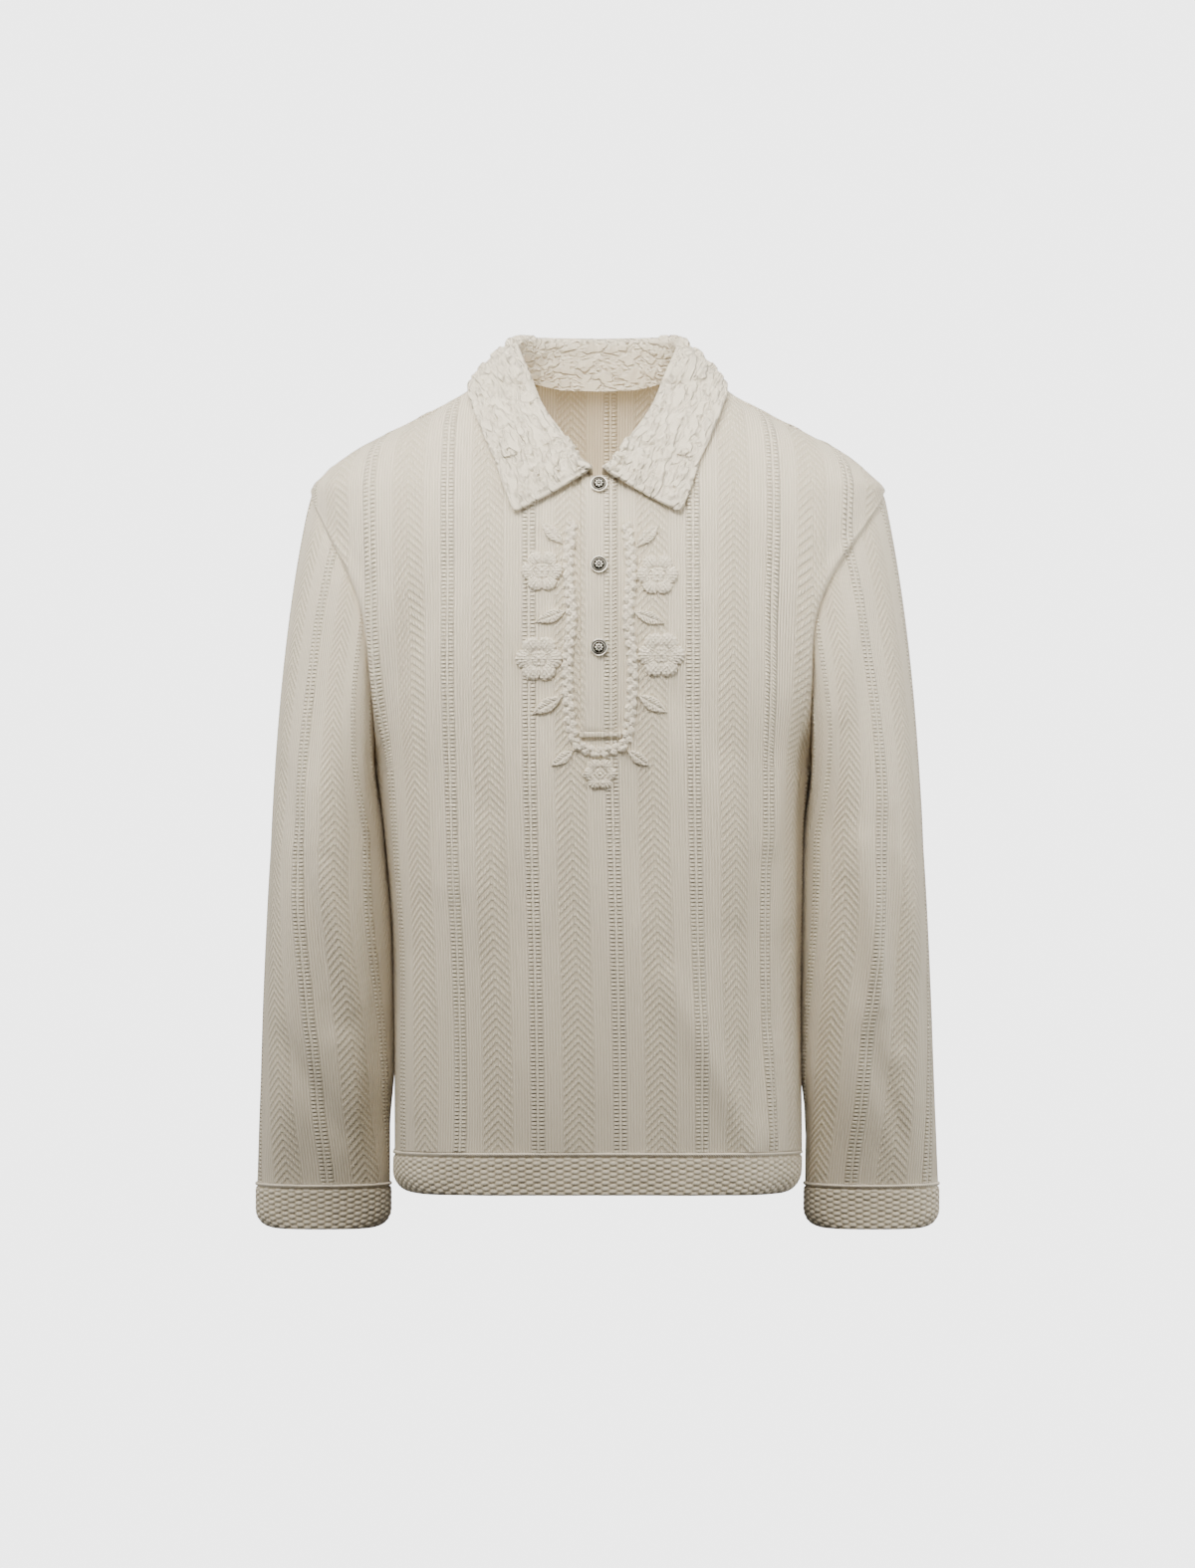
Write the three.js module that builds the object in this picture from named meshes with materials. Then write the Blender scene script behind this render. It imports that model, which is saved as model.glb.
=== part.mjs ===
// Long-sleeved knitted polo shirt, filled out with no wearer, in millimetres.
// X runs to the viewer's right (the wearer's left), Y from front to back, Z up.
// The origin is the middle of the neck opening, level with the highest point of the back neck seam.
import * as THREE from 'three';

// Cloth
const clothThickness = 2;
const bandThickness = 3;
const collarThickness = 3;
const seamGap = 0.3;
const cableRise = 0.9;          // how far a cable stands out of the panel
const cableSpacing = 67.5;      // one repeat of the cable and herringbone stripes
const cableCentre = 11;         // the cable nearest to the centre front
const cableHalfTop = 4;         // half the width of a cable's crown
const cableHalfFoot = 8;        // half the width at its foot

// Torso
const sectionPower = 2.6;       // a superellipse: 2 is an ellipse, more is squarer
const armpitZ = -335;
const shoulderTipZ = -100;
const hemSeamFrontZ = -648;
const hemSeamSideDrop = 6.3;
const hemBandHeight = 35.3;
const armholeScoopLeft = 86;    // depth of the armhole's curve in front of and behind the side
const armholeScoopRight = 76;
const gradingStart = 112;       // cloth columns beyond this bend towards the armhole
const neckGradingX = [70, 76];   // columns that keep the neckline's curve near the shoulder
const neckSideX = 79;
const highPointX = 82;
const shoulderTipX = 241;
const seamForwardAtNeck = 24;   // the shoulder seam lies in front of the ridge
const seamForwardAtTip = 4;
const torsoRings = [
  { z: -700, left: 170.5, right: 170.5, front: 117, back: 117 },
  { z: -634, left: 171, right: 170.5, front: 118, back: 118 },
  { z: -491, left: 170.5, right: 172, front: 119, back: 120 },
  { z: -399, left: 172, right: 178, front: 121, back: 122 },
  { z: -335, left: 179, right: 186, front: 122, back: 123 },
  { z: -290, left: 195, right: 199, front: 122, back: 123 },
  { z: -250, left: 212, right: 213, front: 121, back: 122 },
  { z: -200, left: 226, right: 226, front: 118, back: 120 },
  { z: -165, left: 235, right: 235, front: 113, back: 117 },
  { z: -130, left: 240, right: 240, front: 106, back: 113 },
  { z: -100, left: 241, right: 241, front: 96, back: 107 },
  { z: -85, left: 228, right: 228, front: 89, back: 103 },
  { z: -68, left: 205, right: 205, front: 81, back: 98 },
  { z: -51, left: 175, right: 175, front: 70, back: 91 },
  { z: -34, left: 142, right: 142, front: 57, back: 83 },
  { z: -18, left: 113, right: 113, front: 47.5, back: 73 },
  { z: -9, left: 101.6, right: 101.6, front: 46, back: 64 },
  { z: 5, left: 85, right: 85, front: 43, back: 54 },
  { z: 16, left: 71, right: 71, front: 38, back: 46 },
];
const frontNeckline = [
  { x: 0, z: -92.5 },
  { x: 6.5, z: -92 },
  { x: 20, z: -86 },
  { x: 42, z: -70 },
  { x: 62, z: -47 },
  { x: 76, z: -18 },
  { x: 79, z: 2 },
];
const backNeckline = [
  { x: 0, z: -7 },
  { x: 30, z: -6 },
  { x: 56, z: -1 },
  { x: 74, z: 5 },
  { x: 82, z: 8 },
];

// Sleeves and cuffs, seen from the front: inner and outer edge, and half the depth from front to back
const sleeveRingTopZ = -400;
const sleeveEndZ = -681;
const cuffHeight = 38;
const sleevePower = 2.2;
const sleeveRings = [
  { z: -400, inner: 181, outer: 274.5, depth: 82 },
  { z: -441, inner: 178, outer: 277, depth: 78 },
  { z: -525, inner: 175.5, outer: 281, depth: 66 },
  { z: -609, inner: 174.5, outer: 284, depth: 52 },
  { z: -659, inner: 176.5, outer: 286, depth: 41 },
  { z: -690, inner: 181, outer: 287, depth: 36 },
  { z: -725, inner: 184, outer: 287, depth: 33 },
];

// Collar: where the roll line and the outer edge run, from the centre back (0) to the front end (1)
const rollRadius = 2.9;
const collarClearance = 2.4;
const collarSeamGap = 1.3;
const shoulderEase = 2.3;       // more room where the stand crosses the shoulder's strip
const collarRoute = [
  { s: 0, neckX: 0, face: 1, rollX: 0, rollY: 58, rollZ: 33, edgeX: 0, edgeY: 79, edgeZ: -18 },
  { s: 0.12, neckX: 34, face: 1, rollX: 36, rollY: 52, rollZ: 33, edgeX: 46, edgeY: 72, edgeZ: -16 },
  { s: 0.22, neckX: 56, face: 1, rollX: 56, rollY: 37, rollZ: 32, edgeX: 75, edgeY: 52, edgeZ: -11 },
  { s: 0.32, neckX: 74, face: 1, rollX: 66, rollY: 20, rollZ: 30, edgeX: 94, edgeY: 25, edgeZ: -6 },
  { s: 0.41, neckX: 82, face: 1, rollX: 68.5, rollY: 8, rollZ: 26, edgeX: 102.5, edgeY: 2, edgeZ: -7 },
  { s: 0.5, neckX: 79, face: -1, rollX: 66.5, rollY: -6, rollZ: 17, edgeX: 104, edgeY: -15, edgeZ: -16 },
  { s: 0.58, neckX: 76, face: -1, rollX: 58, rollY: -25, rollZ: -3, edgeX: 101.5, edgeY: -32, edgeZ: -33 },
  { s: 0.7, neckX: 62, face: -1, rollX: 47, rollY: -53, rollZ: -31, edgeX: 92.5, edgeY: -52, edgeZ: -61 },
  { s: 0.84, neckX: 40, face: -1, rollX: 25, rollY: -84, rollZ: -64, edgeX: 82.5, edgeY: -76, edgeZ: -87 },
  { s: 0.93, neckX: 20, face: -1, rollX: 15.5, rollY: -96, rollZ: -79, edgeX: 74, edgeY: -92, edgeZ: -107 },
  { s: 1, neckX: 6.5, face: -1, rollX: 6.2, rollY: -103, rollZ: -87, edgeX: 66.4, edgeY: -104, edgeZ: -123 },
];

// Placket and buttons
const placketTopZ = -94.6;
const placketBottomZ = -309;
const placketHalfWidth = 13.8;
const slotLeft = -14.4;
const slotRight = 19.8;
const slotBottomZ = -306;
const underPlacketRight = 19.4;
const barHeight = 5.5;
const buttonRadius = 7.2;
const buttonClearance = 0.15;
const buttonX = 1.2;
const buttonHeights = [-101.5, -167.5, -235];

// Raised flowers and leaves round the placket, on one stem that runs down one side and up the other
const motifThickness = 2.4;
const motifLift = 0.9;
const rosettes = [
  { x: -45.5, z: -172, radius: 17 },
  { x: 49, z: -175, radius: 17 },
  { x: -48, z: -244, radius: 19 },
  { x: 52, z: -241, radius: 19 },
  { x: 2, z: -338.3, radius: 13 },
];
const leaves = [
  { x: -37.2, z: -140.8, length: 26, turn: 135 },
  { x: 41.2, z: -142.8, length: 26, turn: 45 },
  { x: -38.2, z: -209.4, length: 26, turn: 200 },
  { x: 42.2, z: -210.4, length: 26, turn: -20 },
  { x: -41, z: -282, length: 28, turn: 210 },
  { x: 45, z: -281, length: 28, turn: -30 },
  { x: -28.5, z: -325.5, length: 22, turn: 215 },
  { x: 33.5, z: -325.5, length: 22, turn: -35 },
];
const leafHalfWidth = 0.42;     // as a share of its half length
const leafRound = 1.3;          // 2 would be an ellipse, less is more pointed
const stemHalfWidth = 3.5;
const stemRoute = [
  { x: -21, z: -132 },
  { x: -24, z: -172 },
  { x: -21, z: -210 },
  { x: -25, z: -250 },
  { x: -23, z: -290 },
  { x: -17, z: -314 },
  { x: 2, z: -321 },
  { x: 22, z: -314 },
  { x: 27, z: -290 },
  { x: 29, z: -250 },
  { x: 25, z: -210 },
  { x: 28, z: -172 },
  { x: 24, z: -132 },
];

// The largest soft folds: a line on the front, its half width and how far it rises or sinks
const frontFolds = [
  { x0: -55, z0: -245, x1: -40, z1: -312, width: 15, rise: -2.5 },
  { x0: 57, z0: -256, x1: 71, z1: -296, width: 15, rise: -2.5 },
  { x0: 35, z0: -343, x1: 38, z1: -438, width: 15, rise: -2.5 },
  { x0: 104, z0: -340, x1: 112, z1: -450, width: 14, rise: 3 },
  { x0: 136, z0: -420, x1: 134, z1: -610, width: 20, rise: -4.5 },
  { x0: 60, z0: -510, x1: 128, z1: -648, width: 13, rise: 3 },
  { x0: -116, z0: -455, x1: -109, z1: -630, width: 19, rise: -3.5 },
  { x0: -90, z0: -385, x1: -92, z1: -470, width: 13, rise: 2 },
  { x0: -120, z0: -150, x1: -160, z1: -255, width: 20, rise: -3 },
  { x0: 130, z0: -150, x1: 152, z1: -250, width: 18, rise: -3 },
];
const backFolds = [
  { x0: -118, z0: -170, x1: -92, z1: -330, width: 20, rise: -4 },
  { x0: 112, z0: -180, x1: 88, z1: -350, width: 19, rise: -4 },
  { x0: -62, z0: -400, x1: -96, z1: -620, width: 19, rise: -4 },
  { x0: 40, z0: -430, x1: 66, z1: -630, width: 17, rise: -3.5 },
  { x0: -10, z0: -470, x1: -18, z1: -640, width: 15, rise: 3 },
  { x0: 126, z0: -460, x1: 120, z1: -640, width: 15, rise: 3 },
];
const sleeveFolds = [
  { side: -1, x0: 260, z0: -340, x1: 222, z1: -545, width: 11, rise: -4 },
  { side: -1, x0: 228, z0: -420, x1: 203, z1: -530, width: 9, rise: 3 },
  { side: -1, x0: 262, z0: -560, x1: 214, z1: -640, width: 11, rise: -3 },
  { side: -1, x0: 214, z0: -200, x1: 236, z1: -330, width: 12, rise: -2 },
  { side: 1, x0: 220, z0: -395, x1: 236, z1: -530, width: 9, rise: 3.5 },
  { side: 1, x0: 258, z0: -410, x1: 270, z1: -500, width: 8, rise: 3 },
  { side: 1, x0: 240, z0: -380, x1: 252, z1: -560, width: 10, rise: -3.5 },
  { side: 1, x0: 216, z0: -150, x1: 204, z1: -290, width: 9, rise: 3.5 },
  { side: 1, x0: 226, z0: -560, x1: 262, z1: -650, width: 11, rise: -3 },
];

// Rows and columns of the walls
const skirtRows = 9;
const yokeRows = 11;
const sleeveSides = 2 * yokeRows;   // the sleeve's columns start where the panels' rows end
const capRows = 6;
const armRows = 8;
const collarColumns = 38;
const bandSides = 36;
const cuffSides = sleeveSides;

const { abs, cos, hypot, max, min, PI, pow, sin, sqrt } = Math;

function clamp01(value) {
  return min(max(value, 0), 1);
}

function smooth(value) {
  const t = clamp01(value);
  return t * t * (3 - 2 * t);
}

function mix(from, to, share) {
  return from + (to - from) * share;
}

// A monotone cubic through a table's rows: key is the column that it is read by, value the one it gives.
function curveOf(rows, key, value) {
  const sorted = [...rows].sort((p, q) => p[key] - q[key]);
  const steps = sorted.slice(1).map((row, i) => (row[value] - sorted[i][value]) / (row[key] - sorted[i][key]));
  const slopes = sorted.map((row, i) => {
    if (i === 0) return steps[0];
    if (i === sorted.length - 1) return steps[i - 1];
    if (steps[i - 1] * steps[i] <= 0) return 0;
    return (2 * steps[i - 1] * steps[i]) / (steps[i - 1] + steps[i]);
  });
  return (at) => {
    let i = 0;
    while (i < sorted.length - 2 && at > sorted[i + 1][key]) i++;
    const span = sorted[i + 1][key] - sorted[i][key];
    const t = clamp01((at - sorted[i][key]) / span);
    const near = (1 + 2 * t) * (1 - t) * (1 - t);
    const far = t * t * (3 - 2 * t);
    return near * sorted[i][value] + far * sorted[i + 1][value]
      + span * (t * (1 - t) * (1 - t) * slopes[i] - t * t * (1 - t) * slopes[i + 1]);
  };
}

// The place between low and high where a falling test turns from true to false.
function lastTrue(low, high, test) {
  let [good, bad] = [low, high];
  for (let i = 0; i < 40; i++) {
    const middle = (good + bad) / 2;
    if (test(middle)) good = middle;
    else bad = middle;
  }
  return good;
}

const halfWidthLeft = curveOf(torsoRings, 'z', 'left');
const halfWidthRight = curveOf(torsoRings, 'z', 'right');
const frontDepth = curveOf(torsoRings, 'z', 'front');
const backDepth = curveOf(torsoRings, 'z', 'back');
const frontNeckZ = curveOf(frontNeckline, 'x', 'z');
const backNeckZ = curveOf(backNeckline, 'x', 'z');

// In this file side is +1 on the viewer's right, where the wearer's left arm is, and face is -1 in front.
function halfWidth(z, side) {
  return side > 0 ? halfWidthLeft(z) : halfWidthRight(z);
}

function halfDepth(z, face) {
  return face < 0 ? frontDepth(z) : backDepth(z);
}

function depthAt(x, z, side, face) {
  const share = min(abs(x) / halfWidth(z, side), 1);
  return halfDepth(z, face) * pow(1 - pow(share, sectionPower), 1 / sectionPower);
}

function widthAt(depth, z, side, face) {
  const share = min(depth / halfDepth(z, face), 1);
  return halfWidth(z, side) * pow(1 - pow(share, sectionPower), 1 / sectionPower);
}

// A quarter of the torso's section, from the centre line to the side, with the length of cloth along it.
const arcSteps = 48;
const quarterSections = new Map();

function quarterSection(z, side, face) {
  const key = `${z.toFixed(3)} ${side} ${face}`;
  if (!quarterSections.has(key)) {
    const points = [];
    for (let i = 0; i <= arcSteps; i++) {
      const angle = (i / arcSteps) * (PI / 2);
      const x = halfWidth(z, side) * pow(sin(angle), 2 / sectionPower);
      const y = halfDepth(z, face) * pow(cos(angle), 2 / sectionPower);
      const before = points[i - 1];
      points.push({ x, y, arc: before ? before.arc + hypot(x - before.x, y - before.y) : 0 });
    }
    quarterSections.set(key, points);
  }
  return quarterSections.get(key);
}

function quarterLength(z, side, face) {
  return quarterSection(z, side, face)[arcSteps].arc;
}

function alongQuarter(z, side, face, from, at, to) {
  const points = quarterSection(z, side, face);
  let i = 0;
  while (i < arcSteps - 1 && (points[i + 1][from] - at) * (points[arcSteps][from] - points[0][from]) < 0) i++;
  const share = clamp01((at - points[i][from]) / (points[i + 1][from] - points[i][from]));
  return mix(points[i][to], points[i + 1][to], share);
}

function torsoPoint(z, side, face, arc) {
  const x = alongQuarter(z, side, face, 'arc', arc, 'x');
  return new THREE.Vector3(side * x, face * depthAt(x, z, side, face), z);
}

function seamForward(x) {
  const share = clamp01((x - neckSideX) / (shoulderTipX - neckSideX));
  return mix(seamForwardAtNeck, seamForwardAtTip, share);
}

// The armhole as a loop: turn 0 is the shoulder tip, 90 degrees the front or back, 180 the armpit.
function armholeDepth(turn, side) {
  const scoop = side > 0 ? armholeScoopLeft : armholeScoopRight;
  return scoop * pow(max(sin(turn), 0), mix(1.3, 0.8, (1 - cos(turn)) / 2));
}

function armholeZ(turn) {
  return mix(armpitZ, shoulderTipZ, (1 + cos(turn)) / 2);
}

function armholePoint(turn, side, face) {
  const z = armholeZ(turn);
  const depth = armholeDepth(turn, side);
  return new THREE.Vector3(side * widthAt(depth, z, side, face), face * depth, z);
}

function edgeArc(z, side, face) {
  if (z <= armpitZ) return quarterLength(z, side, face);
  const turn = Math.acos(clamp01((z - armpitZ) / (shoulderTipZ - armpitZ)) * 2 - 1);
  return alongQuarter(z, side, face, 'y', armholeDepth(turn, side), 'arc');
}

// Where a column of cloth that is column mm from the centre line at the armpit's level lies at height z.
function columnArc(column, z, side, face) {
  const full = quarterLength(armpitZ, side, face);
  const bend = smooth((column - gradingStart) / (full - gradingStart));
  return column + (edgeArc(min(z, shoulderTipZ), side, face) - full) * bend;
}

function foldRise(folds, x, z) {
  let rise = 0;
  for (const fold of folds) {
    const dx = fold.x1 - fold.x0;
    const dz = fold.z1 - fold.z0;
    const along = clamp01(((x - fold.x0) * dx + (z - fold.z0) * dz) / (dx * dx + dz * dz));
    const away = hypot(x - fold.x0 - along * dx, z - fold.z0 - along * dz);
    rise += fold.rise * Math.exp(-pow(away / fold.width, 2)) * pow(sin(PI * mix(0.12, 0.88, along)), 0.7);
  }
  return rise;
}

function torsoNormal(point, side, face) {
  const step = 0.5;
  const level = (x, y, z) => pow(abs(x) / halfWidth(z, side), sectionPower)
    + pow(abs(y) / halfDepth(z, face), sectionPower);
  const { x, y, z } = point;
  return new THREE.Vector3(
    level(x + step, y, z) - level(x - step, y, z),
    level(x, y + step, z) - level(x, y - step, z),
    level(x, y, z + step) - level(x, y, z - step),
  ).normalize();
}

// The cable stripes stand out of the cloth; arc is counted from the centre line, negative on the viewer's left.
function cableHeight(arc) {
  const offset = arc - cableCentre - cableSpacing * Math.round((arc - cableCentre) / cableSpacing);
  return cableRise * clamp01((cableHalfFoot - abs(offset)) / (cableHalfFoot - cableHalfTop));
}

// A closed wall between two grids of points. rows[r][c] and its twin on the inside; skip leaves cells out.
function wallGeometry(outer, inner, { wraps = false, skip = () => false } = {}) {
  const rows = outer.length;
  const columns = outer[0].length;
  const lastCell = wraps ? columns : columns - 1;
  const positions = [];
  const places = new Map();
  const place = (layer, r, c) => {
    const point = (layer === 0 ? outer : inner)[r][c % columns];
    const key = `${layer} ${r} ${c % columns}`;
    if (!places.has(key)) {
      places.set(key, positions.length / 3);
      positions.push(point.x, point.y, point.z);
    }
    return places.get(key);
  };
  const filled = (r, c) => {
    if (r < 0 || r >= rows - 1) return false;
    const cell = wraps ? (c + lastCell) % lastCell : c;
    return cell >= 0 && cell < lastCell && !skip(r, cell);
  };
  const triangles = [];
  const quad = (a, b, c, d) => triangles.push(a, b, c, a, c, d);
  for (let r = 0; r < rows - 1; r++) {
    for (let c = 0; c < lastCell; c++) {
      if (!filled(r, c)) continue;
      const corners = [[r, c], [r, c + 1], [r + 1, c + 1], [r + 1, c]];
      const [a, b, d, e] = corners.map(([row, column]) => place(0, row, column));
      const [p, q, s, t] = corners.map(([row, column]) => place(1, row, column));
      quad(a, b, d, e);
      quad(p, t, s, q);
      if (!filled(r - 1, c)) quad(a, p, q, b);
      if (!filled(r, c + 1)) quad(b, q, s, d);
      if (!filled(r + 1, c)) quad(d, s, t, e);
      if (!filled(r, c - 1)) quad(e, t, p, a);
    }
  }
  const geometry = new THREE.BufferGeometry();
  geometry.setAttribute('position', new THREE.Float32BufferAttribute(positions, 3));
  geometry.setIndex(facingOut(positions, triangles));
  geometry.computeVertexNormals();
  return geometry;
}

function facingOut(positions, triangles) {
  let volume = 0;
  const corner = (i) => new THREE.Vector3().fromArray(positions, 3 * i);
  for (let i = 0; i < triangles.length; i += 3) {
    const [a, b, c] = [corner(triangles[i]), corner(triangles[i + 1]), corner(triangles[i + 2])];
    volume += a.dot(b.cross(c));
  }
  if (volume > 0) return triangles;
  const turned = [];
  for (let i = 0; i < triangles.length; i += 3) turned.push(triangles[i], triangles[i + 2], triangles[i + 1]);
  return turned;
}

// Unit normals of a grid of points, away from the given middle.
function gridNormals(grid, { wraps = false, middle }) {
  const columns = grid[0].length;
  return grid.map((row, r) => row.map((point, c) => {
    const up = grid[min(r + 1, grid.length - 1)][c].clone().sub(grid[max(r - 1, 0)][c]);
    const next = wraps ? (c + 1) % columns : min(c + 1, columns - 1);
    const last = wraps ? (c + columns - 1) % columns : max(c - 1, 0);
    const across = grid[r][next].clone().sub(grid[r][last]);
    const normal = across.cross(up).normalize();
    return normal.dot(middle(point).negate().add(point)) < 0 ? normal.negate() : normal;
  }));
}

// The inside of a wall: every point moved in by the thickness, or along a rim's own direction.
function insideOf(grid, normals, thickness, rimDirection = () => null) {
  return grid.map((row, r) => row.map((point, c) => {
    const direction = rimDirection(r, c) ?? normals[r][c].clone().negate();
    return point.clone().addScaledVector(direction, thickness);
  }));
}

const torsoMiddle = (point) => new THREE.Vector3(0, 0, min(point.z, -160));

// At the armhole the panel and the sleeve are cut along one mitre: down at the tip, up at the armpit.
function armholeMitre(turn, side, face) {
  return new THREE.Vector3(side * -0.4 * (1 + cos(turn)) / 2, -face * sin(turn), -cos(turn)).normalize();
}

// Columns of the panels
function stripeColumns(reach, extra) {
  const columns = [...extra];
  for (let k = -6; k <= 6; k++) {
    const centre = cableCentre + k * cableSpacing;
    for (const offset of [-cableHalfFoot, -cableHalfTop, cableHalfTop, cableHalfFoot]) columns.push(centre + offset);
    columns.push(centre + cableSpacing / 2);
  }
  const clear = 4;
  const kept = columns.filter((arc, i) => abs(arc) < reach - 8
    && (i < extra.length || extra.every((fixed) => abs(fixed - arc) > clear)));
  return kept.sort((a, b) => a - b);
}

function seamLineZ(column, side, face) {
  const share = column / quarterLength(armpitZ, side, face);
  return hemSeamFrontZ - hemSeamSideDrop * share * share;
}

// The front: a grid of cloth columns from the hem to the shoulder seam and neckline, open at the placket's slot.
function frontPanel() {
  const leftReach = quarterLength(armpitZ, -1, -1);
  const rightReach = quarterLength(armpitZ, 1, -1);
  const neckArc = alongQuarter(2, 1, -1, 'x', neckSideX, 'arc');
  const neckColumns = neckGradingX.map((x) => alongQuarter(frontNeckZ(x), 1, -1, 'x', x, 'arc'));
  const fixed = [slotLeft, slotRight, -neckArc, neckArc, ...neckColumns, ...neckColumns.map((arc) => -arc)];
  const inner = stripeColumns(leftReach, fixed)
    .filter((arc) => arc < slotLeft + 1 || arc > slotRight - 1);
  const columns = [-leftReach, ...inner, rightReach];
  const slotCell = columns.findIndex((arc) => arc === slotRight) - 1;
  const rows = [];
  const reliefs = [];
  const turns = [];
  const slotRow = skirtRows + 1;
  for (let r = 0; r <= skirtRows + yokeRows; r++) {
    rows.push([]);
    reliefs.push([]);
    turns.push([]);
    for (const signed of columns) {
      const side = signed < 0 ? -1 : 1;
      const column = abs(signed);
      const full = side < 0 ? leftReach : rightReach;
      const edge = full - column < 1e-6;
      const bottomZ = seamLineZ(column, side, -1);
      let z = mix(bottomZ, armpitZ, r / skirtRows);
      if (r > skirtRows) {
        const topZ = frontTopZ(column, side);
        z = mix(armpitZ, topZ, yokeShare(r - skirtRows));
        if (r === slotRow && column < 20) z = slotBottomZ;
        if (r > slotRow && column < 20) z = mix(slotBottomZ, topZ, (r - slotRow) / (skirtRows + yokeRows - slotRow));
      }
      let point = torsoPoint(z, side, -1, columnArc(column, z, side, -1));
      if (edge && r <= skirtRows) {
        point = torsoPoint(z, side, -1, quarterLength(z, side, -1));
        point.y = -seamGap / 2;
      }
      const onEdge = edge || r === skirtRows + yokeRows;
      const quiet = smooth((full - column) / 30);
      if (!edge) point.addScaledVector(torsoNormal(point, side, -1), foldRise(frontFolds, point.x, z) * quiet);
      rows[r].push(point);
      reliefs[r].push(onEdge || r === 0 || column < 22 ? 0 : cableHeight(signed));
      turns[r].push(edge && r >= skirtRows ? turnAtZ(z) : null);
    }
  }
  const normals = gridNormals(rows, { middle: torsoMiddle });
  const rim = (r, c) => rimDirection(rows[r][c], turns[r][c], columns[c] < 0 ? -1 : 1, -1, c, columns.length);
  const inside = insideOf(rows, normals, clothThickness, rim);
  const outside = rows.map((row, r) => row.map((point, c) => point.clone()
    .addScaledVector(normals[r][c], reliefs[r][c])));
  const skip = (r, c) => c === slotCell && r >= slotRow;
  return { geometry: wallGeometry(outside, inside, { skip }), outside };
}

const front = frontPanel();

// The depth of the front's outer face at x and z, read from the facet that lies there.
function frontDepthAt(x, z) {
  const grid = front.outside;
  for (let r = 0; r < grid.length - 1; r++) {
    for (let c = 0; c < grid[0].length - 1; c++) {
      const [a, b, d, e] = [grid[r][c], grid[r][c + 1], grid[r + 1][c + 1], grid[r + 1][c]];
      for (const [p, q, s] of [[a, b, d], [a, d, e]]) {
        const area = (q.x - p.x) * (s.z - p.z) - (s.x - p.x) * (q.z - p.z);
        const atQ = ((x - p.x) * (s.z - p.z) - (s.x - p.x) * (z - p.z)) / area;
        const atS = ((q.x - p.x) * (z - p.z) - (x - p.x) * (q.z - p.z)) / area;
        if (atQ >= 0 && atS >= 0 && atQ + atS <= 1) return p.y + atQ * (q.y - p.y) + atS * (s.y - p.y);
      }
    }
  }
  return -depthAt(x, z, x < 0 ? -1 : 1, -1);
}

// A point that lies on the front, moved out by rise.
function frontPoint(x, z, rise) {
  const point = new THREE.Vector3(x, frontDepthAt(x, z), z);
  return point.addScaledVector(torsoNormal(point, x < 0 ? -1 : 1, -1), rise);
}

// How a panel's rim is cut: square at the side seam, on the mitre at the armhole, as its surface elsewhere.
function rimDirection(point, turn, side, face, column, columns) {
  if (turn !== null) return armholeMitre(turn, side, face);
  if (column === 0 || column === columns - 1) return new THREE.Vector3(-side, 0, 0);
  return null;
}

// Rows above the armpit lie closer at both ends, evenly spaced in turn round the armhole.
function yokeShare(row) {
  return (1 - cos((PI * row) / yokeRows)) / 2;
}

function turnAtZ(z) {
  return Math.acos(clamp01((z - armpitZ) / (shoulderTipZ - armpitZ)) * 2 - 1);
}

// The top of a front column: the neckline, or the shoulder seam in front of the ridge.
function frontTopZ(column, side) {
  return lastTrue(armpitZ, 12, (z) => {
    const arc = columnArcPastTip(column, z, side, -1);
    if (arc === null) return false;
    const x = alongQuarter(z, side, -1, 'arc', arc, 'x');
    const depth = depthAt(x, z, side, -1);
    if (x < neckSideX && z >= frontNeckZ(x)) return false;
    return depth > seamForward(x) + seamGap;
  });
}

// The same, and null where the column has run past the shoulder's ridge.
function columnArcPastTip(column, z, side, face) {
  const arc = columnArc(column, z, side, face);
  return arc <= quarterLength(z, side, face) ? arc : null;
}

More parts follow.
